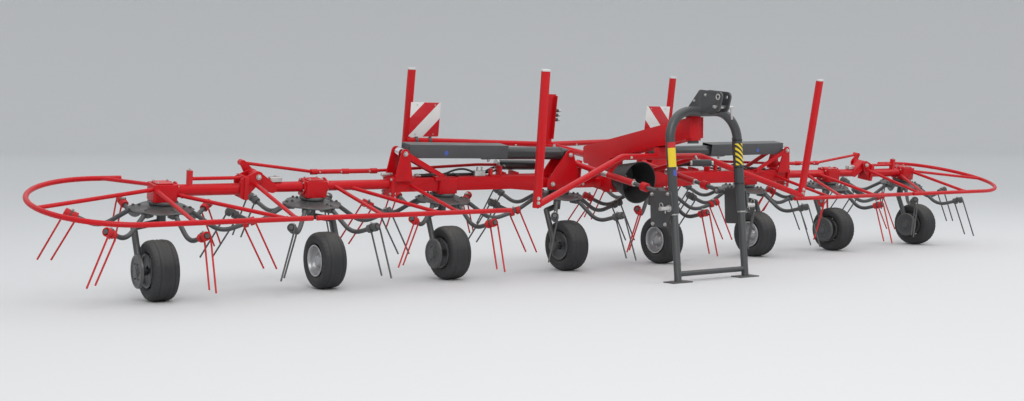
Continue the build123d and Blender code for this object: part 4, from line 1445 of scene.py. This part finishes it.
@dataclass
class FoldCylinder:
    """The gland, ports and cover fittings of one side's folding cylinder."""

    name: str
    place: Place
    foot: Spot = (0.470, 0.0, 0.222)
    head: Spot = (1.975, 0.0, 0.242)
    band_bore: float = 0.0505
    # Each band on the barrel: its radius, and where it starts and ends along the cylinder.
    bands: tuple[Spot, ...] = ((0.0525, 0.752, 0.7895), (0.0522, 0.052, 0.072))
    # Each port: its distance along the cylinder, and whether it points up or down.
    ports: Outline = ((0.105, 1.0), (0.735, -1.0))
    port_heights: Spot = (0.048, 0.060, 0.071)
    port_radius: float = 0.013
    union_radius: float = 0.010
    rivet_dome: Outline = ((0.0045, 0.0), (0.0045, 0.0008), (0.0032, 0.0020), (0.0012, 0.0026))
    rivet_span: tuple[float, float] = (1.110, 1.900)
    rivet_count: int = 9
    rivet_height: float = 0.049
    cover_side: float = 0.0621
    cover_slope: float = 0.0133
    cover_end: float = 1.9357
    end_bolt_spots: Outline = ((-0.045, 0.290), (0.045, 0.290), (-0.045, 0.222), (0.045, 0.222))
    end_bolt: float = 0.007
    mark: Spot = (1.620, -0.0622, 0.243)
    mark_radius: float = 0.017

    def dress(self, shop: Workshop) -> None:
        """Hang the gland and ports on the barrel, and the rivets and round mark on the cover.

        Args:
            shop: the workshop that finishes and hangs the pieces.
        """
        barrel = f"fold_barrel_{self.name}"
        cover = shop.frame["nodes"][f"cylinder_cover_{self.name}"]["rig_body"]
        axis = self.place.aimed(self.foot, self.head)
        bands, mark = Shape(), Shape()
        for radius, start, end in self.bands:
            ring(bands, axis, self.band_bore, radius, start, end, 40)
        shop.piece(f"barrel_gland_{self.name}", bands, Coats.BLACK, barrel)
        shop.piece(f"barrel_ports_{self.name}", self._ports(axis), Coats.ZINC, barrel)
        shop.piece(f"cover_rivets_{self.name}", self._rivets(), Coats.GRAPHITE, cover)
        ring(mark, self.place.facing(self.mark, (0, -1, 0)), 0.0005, self.mark_radius, 0.0, 0.0009, 28)
        shop.piece(f"cover_mark_{self.name}", mark, Coats.BLUE, cover)

    def _ports(self, axis: Place) -> Shape:
        """Make the two ports, each a boss with a hexagonal union on it, upright on the barrel.

        Args:
            axis: the cylinder's frame.

        Returns:
            The ports.
        """
        ports = Shape()
        boss, joint, end = self.port_heights
        for reach, toward in self.ports:
            root, upright = axis((0, 0, reach)), np.array((0.0, 0.0, toward))
            ports.rod(root + upright * boss, root + upright * joint, self.port_radius, 16)
            ports.rod(root + upright * joint, root + upright * end, self.union_radius, 6)
        return ports

    def _rivets(self) -> Shape:
        """Make the rivets along both sides of the cover and the bolts on its outer end.

        A rivet's height is the foot's, plus the cover's slope times the distance from the foot,
        plus the rivets' height over the cylinder's axis.

        Returns:
            The rivets and bolts.
        """
        rivets = Shape()
        for x in np.linspace(*self.rivet_span, self.rivet_count):
            z = self.foot[2] + self.cover_slope * (x - self.foot[0]) + self.rivet_height
            for toward in (-1.0, 1.0):
                root = self.place.facing((x, toward * self.cover_side, z), (0, toward, 0))
                rivets.spin(self.rivet_dome, root, 12)
        for y, z in self.end_bolt_spots:
            rivets.bolt(self.place.facing((self.cover_end, y, z), (1, 0, 0)), self.end_bolt)
        return rivets


@dataclass
class PushRod:
    """One side's push rod: a thin rod that drops to a thicker middle tube and rises to its eye."""

    name: str
    place: Place
    depth: float = 0.120
    # The x and z of each bend; the middle tube runs from the third to the fourth.
    bends: Outline = ((0.930, 0.1131), (1.220, 0.1189), (2.120, 0.084), (2.600, 0.084), (3.150, 0.158))
    radius: float = 0.0118
    middle_radius: float = 0.0172
    sleeve_middle: float = 2.350
    sleeve_bore: float = 0.0165
    sleeve_radius: float = 0.0205
    sleeve_length: float = 0.052
    bolt_stations: Spot = (2.160, 2.390, 2.560)
    bolt: float = 0.006
    eye_face: float = 0.1003
    eye_length: float = 0.0417
    eye_radius: float = 0.0220
    pin: Outline = ((0.0103, -0.012), (0.0103, 0.0430), (0.0090, 0.0450))
    pin_nut: float = 0.011

    def dress(self, shop: Workshop) -> None:
        """Hang the rod with its sleeves and eye, and its bolts and pin.

        Args:
            shop: the workshop that finishes and hangs the pieces.
        """
        rod, metal = Shape(), Shape()
        line = [(x, self.depth, z) for x, z in self.bends]
        rod.tube(self.place(rounded_path(line, 0.030, 5)), self.radius, 14)
        inner, outer = line[2], line[3]
        rod.rod(self.place(inner), self.place(outer), self.middle_radius, 18)
        for x in (inner[0], self.sleeve_middle, outer[0]):
            start = (x - self.sleeve_length / 2, self.depth, inner[2])
            sleeve = self.place.facing(start, (1, 0, 0))
            ring(rod, sleeve, self.sleeve_bore, self.sleeve_radius, 0.0, self.sleeve_length)
        for x in self.bolt_stations:
            for toward in (-1.0, 1.0):
                spot = (x, self.depth + toward * self.sleeve_bore, inner[2])
                metal.bolt(self.place.facing(spot, (0, toward, 0)), self.bolt)
        eye_x, eye_z = self.bends[-1]
        eye = self.place.facing((eye_x, self.eye_face, eye_z), (0, 1, 0))
        ring(rod, eye, 0.0105, self.eye_radius, 0.0, self.eye_length)
        metal.spin(self.pin, eye, 20)
        metal.bolt(eye.at(0, 0, self.pin[1][1]), self.pin_nut)
        node = f"tip_rod_{self.name}"
        shop.piece(f"push_rod_{self.name}", rod, Coats.RED, node, (node,))
        shop.piece(f"push_rod_bolts_{self.name}", metal, Coats.ZINC, node)


# --- Centre -----------------------------------------------------------------------------------


@dataclass
class PowerInput:
    """The ribbed cone and the splined stub that the drive shaft goes on."""

    machine: Place
    root: Spot = (0.0, -0.1753, 0.050)
    small: float = 0.112
    large: float = 0.170
    length: float = 0.215
    wall: float = 0.0042
    rib: float = 0.0012
    rib_count: int = 8
    bore: float = 0.0362
    base: float = 0.004
    lip: float = 0.012
    lip_depth: float = 0.006
    spline_radius: float = 0.0160
    spline_height: float = 0.0014
    spline_count: int = 6
    # Where the stub's sections stand, and the share of the splines' radius that each has.
    stations: Outline = ((0.030, 0.96), (0.031, 1.0), (0.104, 1.0), (0.106, 0.86), (0.118, 0.86),
                         (0.120, 1.0), (0.148, 1.0), (0.150, 0.93))
    collar: Outline = ((0.029, 0.0), (0.031, 0.002), (0.031, 0.024), (0.026, 0.0295), (0.014, 0.030))

    def dress(self, shop: Workshop) -> None:
        """Hang the cone on the centre and the stub on its own body.

        Args:
            shop: the workshop that finishes and hangs the pieces.
        """
        root = self.machine.facing(self.root, (0, -1, 0))
        shop.piece("ribbed_cone", self._cone(root), Coats.PLASTIC, "centre", ("pto_guard",), 50)
        body = shop.frame["nodes"]["pto_shaft"]["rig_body"]
        shop.piece("splined_stub", self._stub(root), Coats.ZINC, body, ("pto_shaft",), 30)

    def _cone(self, root: Place) -> Shape:
        """Make the cone: its radius grows evenly with the distance, and dips between its ribs.

        The outside is the even slope less a rib's height times (1 - cosine), with one turn of the
        cosine for each rib; the inside is the slope less the wall.

        Args:
            root: the input's frame.

        Returns:
            The cone.
        """
        reach = np.linspace(0, self.length, 50)
        slope = self.small + (self.large - self.small) * reach / self.length
        outside = slope - self.rib * (1 - np.cos(reach / self.length * 2 * pi * self.rib_count))
        outer = np.column_stack([outside, reach])
        inner = np.column_stack([slope[::-1] - self.wall, np.maximum(reach[::-1], self.base)])
        base = np.array(((self.bore, self.base), (self.bore, 0.0)))
        cone = Shape()
        cone.spin(np.vstack([outer, inner, base]), root, 72, closed=True)
        ring(cone, root, self.large - self.lip_depth, self.large + 0.0002, self.length - self.lip,
             self.length + 0.0001, 72)
        return cone

    def _stub(self, root: Place) -> Shape:
        """Make the stub: its radius follows a flattened cosine, with one wave for each spline.

        Args:
            root: the input's frame.

        Returns:
            The stub.
        """
        angle = np.linspace(0, 2 * pi, 96, endpoint=False)
        wave = np.clip(3 * np.cos(self.spline_count * angle), -1, 1)
        teeth = self.spline_radius + self.spline_height * wave
        points = np.stack([
            np.column_stack([teeth * size * np.cos(angle), teeth * size * np.sin(angle), np.full(96, at)])
            for at, size in self.stations
        ])
        stub = Shape()
        stub.grid(root(points))
        stub.spin(self.collar, root, 40)
        return stub


@dataclass
class Dampers:
    """The pair of dampers between the arm and the headstock."""

    level: Place
    rear: Spot = (0.350, 0.046, 0.842)
    front: Spot = (0.300, -0.914, 0.650)
    # Each stretch: its coat's index, the shares of the length that it runs between, its radius.
    stretches: tuple[tuple[int, float, float, float], ...] = (
        (0, 0.020, 0.330, 0.022), (1, 0.330, 0.400, 0.0235), (0, 0.400, 0.700, 0.025),
        (1, 0.700, 0.716, 0.0215), (2, 0.716, 0.800, 0.0145), (0, 0.800, 0.860, 0.034),
        (2, 0.860, 0.985, 0.017),
    )
    eye_length: float = 0.056
    eye_radius: float = 0.029
    eye_bore: float = 0.0130

    def dress(self, shop: Workshop) -> None:
        """Hang the red tubes, the plated bands and the dark rods, each with its eyes.

        Args:
            shop: the workshop that finishes and hangs the pieces.
        """
        red, plated, dark = coats = (Shape(), Shape(), Shape())
        length = float(np.linalg.norm(np.subtract(self.front, self.rear)))
        for _, side in SIDES:
            level = self.level.mirrored(side)
            axis = level.aimed(self.rear, self.front)
            for coat, start, end, radius in self.stretches:
                coats[coat].prism(ring_of(radius, 28), start * length, end * length, axis, 0.002)
            for shape, (x, y, z) in ((red, self.rear), (dark, self.front)):
                eye = level.facing((x - self.eye_length / 2, y, z), (1, 0, 0))
                ring(shape, eye, self.eye_bore, self.eye_radius, 0.0, self.eye_length)
                ring(plated, eye, 0.0004, self.eye_bore - 0.0002, -0.001, self.eye_length + 0.001, 20)
        body = shop.frame["nodes"]["dampers"]["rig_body"]
        shop.piece("damper_tubes", red, Coats.RED, body, ("dampers",))
        shop.piece("damper_bands", plated, Coats.ZINC, body)
        shop.piece("damper_rods", dark, Coats.GRAPHITE, body)


@dataclass
class Centre:
    """The nuts, bar caps, marker clamps and mast fittings on the middle."""

    machine: Place
    # Each row of nuts, the same on both sides: the face's y, the thread, and each nut's x and z.
    front_nuts: tuple[tuple[float, float, Outline], ...] = (
        (-0.8903, 0.012, ((1.3460, 0.030), (1.3475, 0.062))),
        (-0.6475, 0.010, ((0.330, 0.302),)),
        (0.8880, 0.010, ((0.330, 0.138),)),
        (-0.1753, 0.010, ((0.1040, -0.054),)),
        (-0.0563, 0.010, ((0.300, -0.020), (0.340, -0.020))),
        (0.8948, 0.005, ((1.165, 0.230), (1.335, 0.230), (1.165, 0.470), (1.335, 0.470))),
    )
    pins: Outline = ((0.620, -0.010), (0.470, 0.222))
    pin_face: float = 0.0763
    pin_nut: float = 0.017
    bar_tops: tuple[Spot, ...] = ((1.381, -0.877, 0.970), (1.401, 0.912, 0.767))
    cap_low: Spot = (-0.0318, -0.0148, -0.014)
    cap_high: Spot = (0.0318, 0.0148, 0.0012)
    clamp_stations: tuple[float, ...] = (1.185, 1.315)
    clamp_half: float = 0.013
    strap: tuple[float, float] = (0.8993, 0.9040)
    strap_rise: float = 0.020
    strap_top: float = 0.300
    rear_tube: tuple[float, float] = (0.908, 0.138)
    rear_tube_rise: float = 0.041 / 1.405
    clamp_bore: float = 0.0243
    clamp_radius: float = 0.0285
    mast_edge_low: Spot = (0.0540, 0.8720, 0.190)
    mast_edge_high: Spot = (0.0600, 0.9017, 0.570)
    coupling_depth: float = 0.887
    coupling_heights: Spot = (0.440, 0.400, 0.360)
    coupling_steps: Spot = (0.060, 0.088, 0.112)
    coupling_radius: float = 0.0155
    coupling_tip_radius: float = 0.0125

    def dress(self, shop: Workshop) -> None:
        """Hang every fitting of the middle.

        Args:
            shop: the workshop that finishes and hangs the pieces.
        """
        shop.piece("centre_nuts", self._nuts(), Coats.ZINC, "centre")
        shop.piece("bar_caps", self._caps(), Coats.CAP, "centre")
        shop.piece("panel_clamps", self._panel_clamps(), Coats.GRAPHITE, "centre")
        edges = Shape()
        for _, side in SIDES:
            edges.box(self.mast_edge_low, self.mast_edge_high, self.machine.mirrored(side), 0.0015)
        shop.piece("mast_edges", edges, Coats.RED, "centre")
        self._couplings(shop)

    def _nuts(self) -> Shape:
        """Make the nuts of the wing and cylinder pins and the bolts on bars, gearbox and guard.

        Returns:
            The nuts.
        """
        nuts = Shape()
        for _, side in SIDES:
            place = self.machine.mirrored(side)
            for x, z in self.pins:
                for toward in (-1.0, 1.0):
                    nuts.bolt(place.facing((x, toward * self.pin_face, z), (0, toward, 0)), self.pin_nut)
            for y, size, spots in self.front_nuts:
                for x, z in spots:
                    nuts.bolt(place.facing((x, y, z), (0, -1, 0)), size)
        return nuts

    def _caps(self) -> Shape:
        """Make the pale caps on the upright bars.

        Returns:
            The caps.
        """
        caps = Shape()
        for _, side in SIDES:
            for top in self.bar_tops:
                caps.box(self.cap_low, self.cap_high, self.machine.mirrored(side).at(*top), 0.004)
        return caps

    def _panel_clamps(self) -> Shape:
        """Make the straps and clamps that hold the markers on the rear tube.

        The tube's height grows evenly with the distance from the middle.

        Returns:
            The straps and clamps.
        """
        clamps = Shape()
        depth, base = self.rear_tube
        front, back = self.strap
        half = self.clamp_half
        for _, side in SIDES:
            place = self.machine.mirrored(side)
            for x in self.clamp_stations:
                z = base + self.rear_tube_rise * x
                low, high = (x - half, front, z + self.strap_rise), (x + half, back, self.strap_top)
                clamps.box(low, high, place, 0.001)
                root = place.facing((x - half, depth, z), (1, 0, 0))
                ring(clamps, root, self.clamp_bore, self.clamp_radius, 0.0, 2 * half)
                clamps.bolt(place.facing((x, depth, z - self.clamp_radius), (0, 0, -1)), 0.010)
        return clamps

    def _couplings(self, shop: Workshop) -> None:
        """Hang the parked couplings on the mast's side: a dark body and a plated tip each.

        Args:
            shop: the workshop that finishes and hangs the pieces.
        """
        dark, plated = Shape(), Shape()
        for z in self.coupling_heights:
            root, neck, tip = (self.machine((x, self.coupling_depth, z)) for x in self.coupling_steps)
            dark.rod(root, neck, self.coupling_radius, 20)
            plated.rod(neck, tip, self.coupling_tip_radius, 16)
        shop.piece("parked_couplings", dark, Coats.BLACK, "centre")
        shop.piece("coupling_tips", plated, Coats.ZINC, "centre")


@dataclass
class Arm:
    """The lock cylinder beside the main arm and the hoses clipped along the arm's flank."""

    level: Place
    lock_start: Spot = (0.200, -0.720, 0.857)
    lock_end: Spot = (0.330, -0.794, 0.857)
    lock_radius: float = 0.027
    # Each metal end of the lock: its start, its end and its radius.
    lock_ends: tuple[tuple[Spot, Spot, float], ...] = (
        ((0.188, -0.713, 0.857), (0.200, -0.720, 0.857), 0.019),
        ((0.330, -0.794, 0.857), (0.345, -0.803, 0.857), 0.017),
        ((0.230, -0.737, 0.880), (0.230, -0.737, 0.900), 0.009),
    )
    front: tuple[float, float] = (-0.986, 1.2025)
    slope: float = -0.1728
    hose_face: float = 0.0742
    hose_radius: float = 0.0085
    hose_drops: Spot = (-0.045, -0.064, -0.083)
    hose_stations: tuple[float, ...] = (-0.860, -0.500, -0.100, 0.220)
    clip_stations: Spot = (-0.780, -0.400, -0.020)
    clip_faces: tuple[float, float] = (0.0653, 0.0850)
    clip_half: float = 0.012
    clip_reach: float = 0.032

    def top(self, y: float) -> float:
        """Give the height of the arm's top: the front's, plus the slope times the way back."""
        return self.front[1] + self.slope * (y - self.front[0])

    def dress(self, shop: Workshop) -> None:
        """Hang the lock cylinder, its ends and the hoses with their clips.

        Args:
            shop: the workshop that finishes and hangs the pieces.
        """
        lock, metal, hoses = Shape(), Shape(), Shape()
        lock.rod(self.level(self.lock_start), self.level(self.lock_end), self.lock_radius, 28)
        shop.piece("lock_cylinder", lock, Coats.BLACK, "centre")
        for start, end, radius in self.lock_ends:
            metal.rod(self.level(start), self.level(end), radius, 18)
        shop.piece("lock_fittings", metal, Coats.ZINC, "centre")
        for drop in self.hose_drops:
            line = [(self.hose_face, y, self.top(y) + drop) for y in self.hose_stations]
            hoses.tube(self.level(line), self.hose_radius, 10)
        near, far = self.clip_faces
        for y in self.clip_stations:
            middle = self.level.at(0, y, self.top(y) + self.hose_drops[1])
            hoses.box((near, -self.clip_half, -self.clip_reach), (far, self.clip_half, self.clip_reach),
                      middle, 0.003)
        shop.piece("arm_hoses", hoses, Coats.HOSE, "centre", sharp=60)


# --- Headstock --------------------------------------------------------------------------------


@dataclass
class Headstock:
    """The fittings on the arch and the stand, in the level frame."""

    level: Place
    half: float = 0.340
    foot: tuple[float, float] = (-1.118, 0.500)
    lean: float = 5.3
    top: float = 1.250
    leg_radius: float = 0.035
    plate_face: float = 0.3853
    plate_bolt_spots: Outline = ((-0.925, 0.638), (-0.935, 0.420), (-1.098, 0.645), (-1.072, 0.420))
    plate_bolt: float = 0.013
    ear_face: float = 0.0503
    # Each collar on the ears: its y, its height over the arch's top and its bore's radius.
    ear_collars: tuple[Spot, ...] = ((-1.262, 0.102, 0.0135), (-0.938, -0.010, 0.006))
    ear_collar_wall: float = 0.010
    ear_bolt_spots: Outline = ((-1.010, 0.080), (-1.130, 0.120))
    ear_bolt: float = 0.010
    loop_spot: Spot = (0.463, -1.1143, 0.5543)
    loop_radius: float = 0.018
    loop_rise: float = 0.010
    loop_twist: float = 0.003
    loop_wire: float = 0.0021
    # Each film: its name, coat and leg, its lower and upper edge up the leg, and in degrees where
    # it starts, from the machine's right towards the rear, and how far round it goes.
    films: tuple[tuple[str, Coats, float, float, float, float, float], ...] = (
        ("left_film", Coats.YELLOW, -1.0, 0.340, 0.480, 190.0, 170.0),
        ("left_patch", Coats.TINE_RED, -1.0, 0.481, 0.522, 190.0, 170.0),
        ("left_spot", Coats.BLUE, -1.0, 0.275, 0.318, 245.0, 60.0),
        ("right_film", Coats.HAZARD, 1.0, 0.345, 0.510, 190.0, 170.0),
    )
    pin_height: float = 0.052
    pin_span: tuple[float, float] = (0.0345, 0.078)
    pin_radius: float = 0.0065
    pin_chain: Outline = ((0.074, 0.052), (0.086, 0.040), (0.086, 0.005))
    hose_angles: tuple[float, float] = (62.0, 92.0)
    hose_gap: float = 0.0092
    hose_radius: float = 0.0085
    hose_stations: tuple[float, ...] = (0.150, 0.300, 0.500, 0.560)
    band_stations: Spot = (0.200, 0.325, 0.530)

    def leg(self, side: float) -> Place:
        """Give a leg's frame: z up the leg from its lower end, and x across the machine.

        Args:
            side: -1 for the left leg or 1 for the right.

        Returns:
            The frame.
        """
        slope = radians(self.lean)
        up = np.array((0.0, sin(slope), cos(slope)))
        across = np.array((1.0, 0.0, 0.0))
        axes = np.array((across, np.cross(up, across), up))
        return Place(self.level((side * self.half, *self.foot)), axes)

    def dress(self, shop: Workshop) -> None:
        """Hang the bolts, pins, films and hoses of the arch, and the pins of the stand.

        Args:
            shop: the workshop that finishes and hangs the pieces.
        """
        shop.piece("arch_bolts", self._bolts(), Coats.ZINC, "headstock")
        shop.piece("arch_hoses", self._hoses(), Coats.HOSE, "headstock", sharp=60)
        for name, coat, side, low, high, start, arc in self.films:
            film = self._film(side, low, high, start, arc)
            shop.piece(name, film, coat, "headstock", sharp=50)
        shop.piece("locking_pins", self._pins(), Coats.ZINC, "headstock")

    def _film(self, side: float, low: float, high: float, start: float, arc: float) -> Shape:
        """Make a blank film wrapped on a leg.

        Args:
            side: which leg.
            low: its lower edge's distance up the leg.
            high: its upper edge's.
            start: where it starts, in degrees from the machine's right, turning to the rear.
            arc: how far round it goes, in degrees.

        Returns:
            The film: a strip of a cylinder half a millimetre thick.
        """
        film = Shape()
        inner, outer = self.leg_radius + 0.0002, self.leg_radius + 0.0007
        film.spin(((inner, low), (outer, low), (outer, high), (inner, high)),
                  self.leg(side).turned(radians(start)), 28, radians(arc), closed=True)
        return film

    def _pins(self) -> Shape:
        """Make the stand's locking pins, their bent wires and the collars under the legs.

        Returns:
            The pins and collars.
        """
        pins = Shape()
        for side in (-1.0, 1.0):
            leg = self.leg(side)
            start, end = (leg((side * x, 0, self.pin_height)) for x in self.pin_span)
            pins.rod(start, end, self.pin_radius)
            pins.tube(leg([(side * x, 0, z) for x, z in self.pin_chain]), 0.004, 8)
            ring(pins, leg, 0.0276, 0.0310, -0.012, -0.0003, 36)
        return pins

    def _bolts(self) -> Shape:
        """Make the bolts of the side plates and ears, the ears' collars and the linch pins.

        A linch pin's loop is a circle whose x sways with the sine of the angle.

        Returns:
            The bolts and collars.
        """
        bolts = Shape()
        turn = np.linspace(0, 2 * pi, 24)
        round_y, round_z = self.loop_radius * np.cos(turn), self.loop_radius * np.sin(turn)
        loop = np.column_stack([round_y, round_z + self.loop_rise, self.loop_twist * np.sin(turn)])
        for _, side in SIDES:
            level = self.level.mirrored(side)
            for y, z in self.plate_bolt_spots:
                bolts.bolt(level.facing((self.plate_face, y, z), (1, 0, 0)), self.plate_bolt)
            for y, rise, radius in self.ear_collars:
                ear = level.facing((self.ear_face, y, self.top + rise), (1, 0, 0))
                ring(bolts, ear, radius, radius + self.ear_collar_wall, 0.0, 0.004)
            for y, rise in self.ear_bolt_spots:
                bolts.bolt(level.facing((self.ear_face, y, self.top + rise), (1, 0, 0)), self.ear_bolt)
            bolts.tube(level.facing(self.loop_spot, (1, 0, 0))(loop), self.loop_wire, 8)
        return bolts

    def _hoses(self) -> Shape:
        """Make the hoses that hang clipped behind the right leg, and the clips' bands.

        Returns:
            The hoses.
        """
        hoses = Shape()
        leg = self.leg(1.0)
        reach = self.leg_radius + self.hose_gap
        for degrees in self.hose_angles:
            x, y = reach * cos(radians(degrees)), reach * sin(radians(degrees))
            line = [(x, y, z) for z in self.hose_stations]
            hoses.tube(leg(smooth_path(line, 6)), self.hose_radius, 10)
        inner, outer = self.leg_radius + 0.0003, self.leg_radius + 0.0030
        for z in self.band_stations:
            ring(hoses, leg.at(0, 0, z), inner, outer, 0.0, 0.014, 40)
        return hoses


# --- Studio ---------------------------------------------------------------------------------


@dataclass
class Studio:
    """The camera, the lamps and a pale bowl that is floor and backdrop in one."""

    camera_spot: Spot = (-6.5839, -7.8892, 1.0693)
    heading: float = 34.670
    downward: float = 3.016
    lens: float = 44.66
    sensor: float = 36.0
    far: float = 200.0
    shift: tuple[float, float] = (0.00055, 0.00203)
    floor_radius: float = 90.0
    floor_bend: float = 20.0
    floor_middle: float = 8.0
    floor_bore: float = 0.02
    floor_thickness: float = 0.1
    wall_height: float = 30.0
    floor_colour: tuple[float, float, float, float] = (0.68, 0.68, 0.68, 1.0)
    floor_roughness: float = 0.8
    sky_colour: tuple[float, float, float, float] = (0.9, 0.93, 0.96, 1.0)
    sky_strength: float = 0.85
    # Each lamp: its name, its spot, what it faces, its width and its watts.
    lamps: tuple[tuple[str, Spot, Spot, float, float], ...] = (
        ("key", (-6.0, -9.0, 9.0), (0.0, 0.0, 0.5), 6.0, 560.0),
        ("top", (1.0, 1.0, 9.5), (0.0, 0.0, 0.0), 9.0, 170.0),
        ("fill", (9.0, -5.0, 6.0), (1.0, 0.0, 0.5), 6.0, 170.0),
    )

    def camera(self) -> None:
        """Set up the camera at the viewing angle."""
        data = bpy.data.cameras.new("view")
        data.lens, data.sensor_width, data.sensor_fit = self.lens, self.sensor, "HORIZONTAL"
        data.shift_x, data.shift_y = self.shift
        data.clip_end = self.far
        eye = bpy.data.objects.new("view", data)
        eye.location = self.camera_spot
        eye.rotation_euler = (radians(90 - self.downward), 0.0, -radians(self.heading))
        bpy.context.scene.collection.objects.link(eye)
        bpy.context.scene.camera = eye

    def bowl(self) -> None:
        """Make the floor: a disc that curves up at its rim by a quarter of a circle."""
        radius, bend, height = self.floor_radius, self.floor_bend, self.wall_height
        angle = np.linspace(0, pi / 2, 14)
        rise = np.column_stack([radius - bend + bend * np.sin(angle), bend * (1 - np.cos(angle))])
        bore, thick = self.floor_bore, self.floor_thickness
        flat = ((bore, 0.0), (self.floor_middle, 0.0))
        wall = ((radius, height), (radius + thick, height), (radius + thick, -thick), (bore, -thick))
        bowl = Shape()
        bowl.spin(np.vstack([flat, rise, wall]), Place(np.zeros(3), np.eye(3)), 96)
        mesh = bowl.mesh("studio_floor", 60)
        floor = bpy.data.objects.new("studio_floor", mesh)
        bpy.context.scene.collection.objects.link(floor)
        finish = bpy.data.materials.new("studio_floor")
        finish.use_nodes = True
        shader = finish.node_tree.nodes["Principled BSDF"]
        shader.inputs["Base Color"].default_value = self.floor_colour
        shader.inputs["Roughness"].default_value = self.floor_roughness
        mesh.materials.append(finish)

    def lamp(self, name: str, spot: Point, target: Point, size: float, watts: float) -> None:
        """Hang a square soft lamp.

        Args:
            name: the lamp's name.
            spot: where it hangs.
            target: what it faces.
            size: its width.
            watts: its power.
        """
        data = bpy.data.lights.new(name, "AREA")
        data.shape, data.size, data.energy = "SQUARE", size, watts
        lamp = bpy.data.objects.new(name, data)
        place = aim(spot, np.subtract(spot, target))
        rows = [[*place.axes[:, i], place.origin[i]] for i in range(3)]
        lamp.matrix_world = Matrix([*rows, [0.0, 0.0, 0.0, 1.0]])
        bpy.context.scene.collection.objects.link(lamp)

    def world(self) -> None:
        """Light the scene evenly with a pale sky."""
        world = bpy.data.worlds.new("sky")
        world.use_nodes = True
        background = world.node_tree.nodes["Background"]
        background.inputs["Color"].default_value = self.sky_colour
        background.inputs["Strength"].default_value = self.sky_strength
        bpy.context.scene.world = world

    def build(self) -> None:
        """Build the whole studio."""
        bpy.context.scene.view_settings.view_transform = "Standard"
        self.camera()
        self.bowl()
        self.world()
        for lamp in self.lamps:
            self.lamp(*lamp)


# --- The whole machine ------------------------------------------------------------------------

LEG_SIDES = (-1.0, 1.0, -1.0, -1.0, 1.0, 1.0, -1.0, -1.0)
PLATED_WHEELS = (1, 3, 7, 8)
# Which sides of each gearbox a tube enters, the tube's height, and whether a lid shows, by the
# body that carries it and its distance from the middle.
GEARBOXES = {
    ("tip", 3.74): ((-1.0,), 0.0, True),
    ("wing", 2.66): ((-1.0, 1.0), 0.006, True),
    ("wing", 1.58): ((), 0.0, False),
    ("centre", 0.5): ((), 0.0, False),
}
SOFTENED = {
    Coats.RED: ("centre_frame", "guards", "wing_beam_L", "wing_beam_R", "tip_beam_L", "tip_beam_R"),
    Coats.GRAPHITE: ("headstock", "stand", "centre_legs", "wing_legs_L", "wing_legs_R", "tip_leg_L",
                     "tip_leg_R"),
    Coats.BLACK: ("fold_barrel_L", "fold_barrel_R", "tip_cylinder_L", "tip_cylinder_R"),
    Coats.COVER: ("cylinder_cover_L", "cylinder_cover_R"),
    Coats.CHROME: ("fold_rod_L", "fold_rod_R"),
    Coats.ZINC: ("hitch_pins",),
    Coats.BOARD: ("warning_panels",),
}


def main() -> None:
    """Build the studio and every piece of the machine, in order."""
    logging.basicConfig(level=logging.INFO, format="%(name)s: %(message)s")
    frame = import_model()
    Studio().build()
    shop = Workshop(frame, Effects())
    for number in range(1, ROTOR_COUNT + 1):
        across = shop.joints[f"rotor_{number}_spin"]["pos_m"][0]
        Rotor(number, shop.machine.at(across, 0, 0)).dress(shop)
        roll = shop.joints[f"wheel_{number}_roll"]
        wheel = Wheel(number, np.array(roll["pos_m"]), LEG_SIDES[number - 1], number in PLATED_WHEELS)
        wheel.dress(shop, roll["parent"])
        carrier = shop.joints[f"rotor_{number}_spin"]["parent"]
        outward = 1.0 if across > 0 else -1.0
        sides, height, lidded = GEARBOXES[carrier.split("_")[0], round(abs(across), 2)]
        place = shop.machine.mirrored(outward).at(abs(across), 0, 0)
        Gearbox(number, place, carrier, sides, height, lidded).dress(shop)
    for name, side in SIDES:
        place = shop.machine.mirrored(side)
        for fittings in (WingBeam, FoldCylinder, PushRod):
            fittings(name, place).dress(shop)
    PowerInput(shop.machine).dress(shop)
    Dampers(shop.level).dress(shop)
    Centre(shop.machine).dress(shop)
    Arm(shop.level).dress(shop)
    Headstock(shop.level).dress(shop)
    for coat, nodes in SOFTENED.items():
        for node in nodes:
            shop.softened(node, coat)


if __name__ == "__main__":
    main()
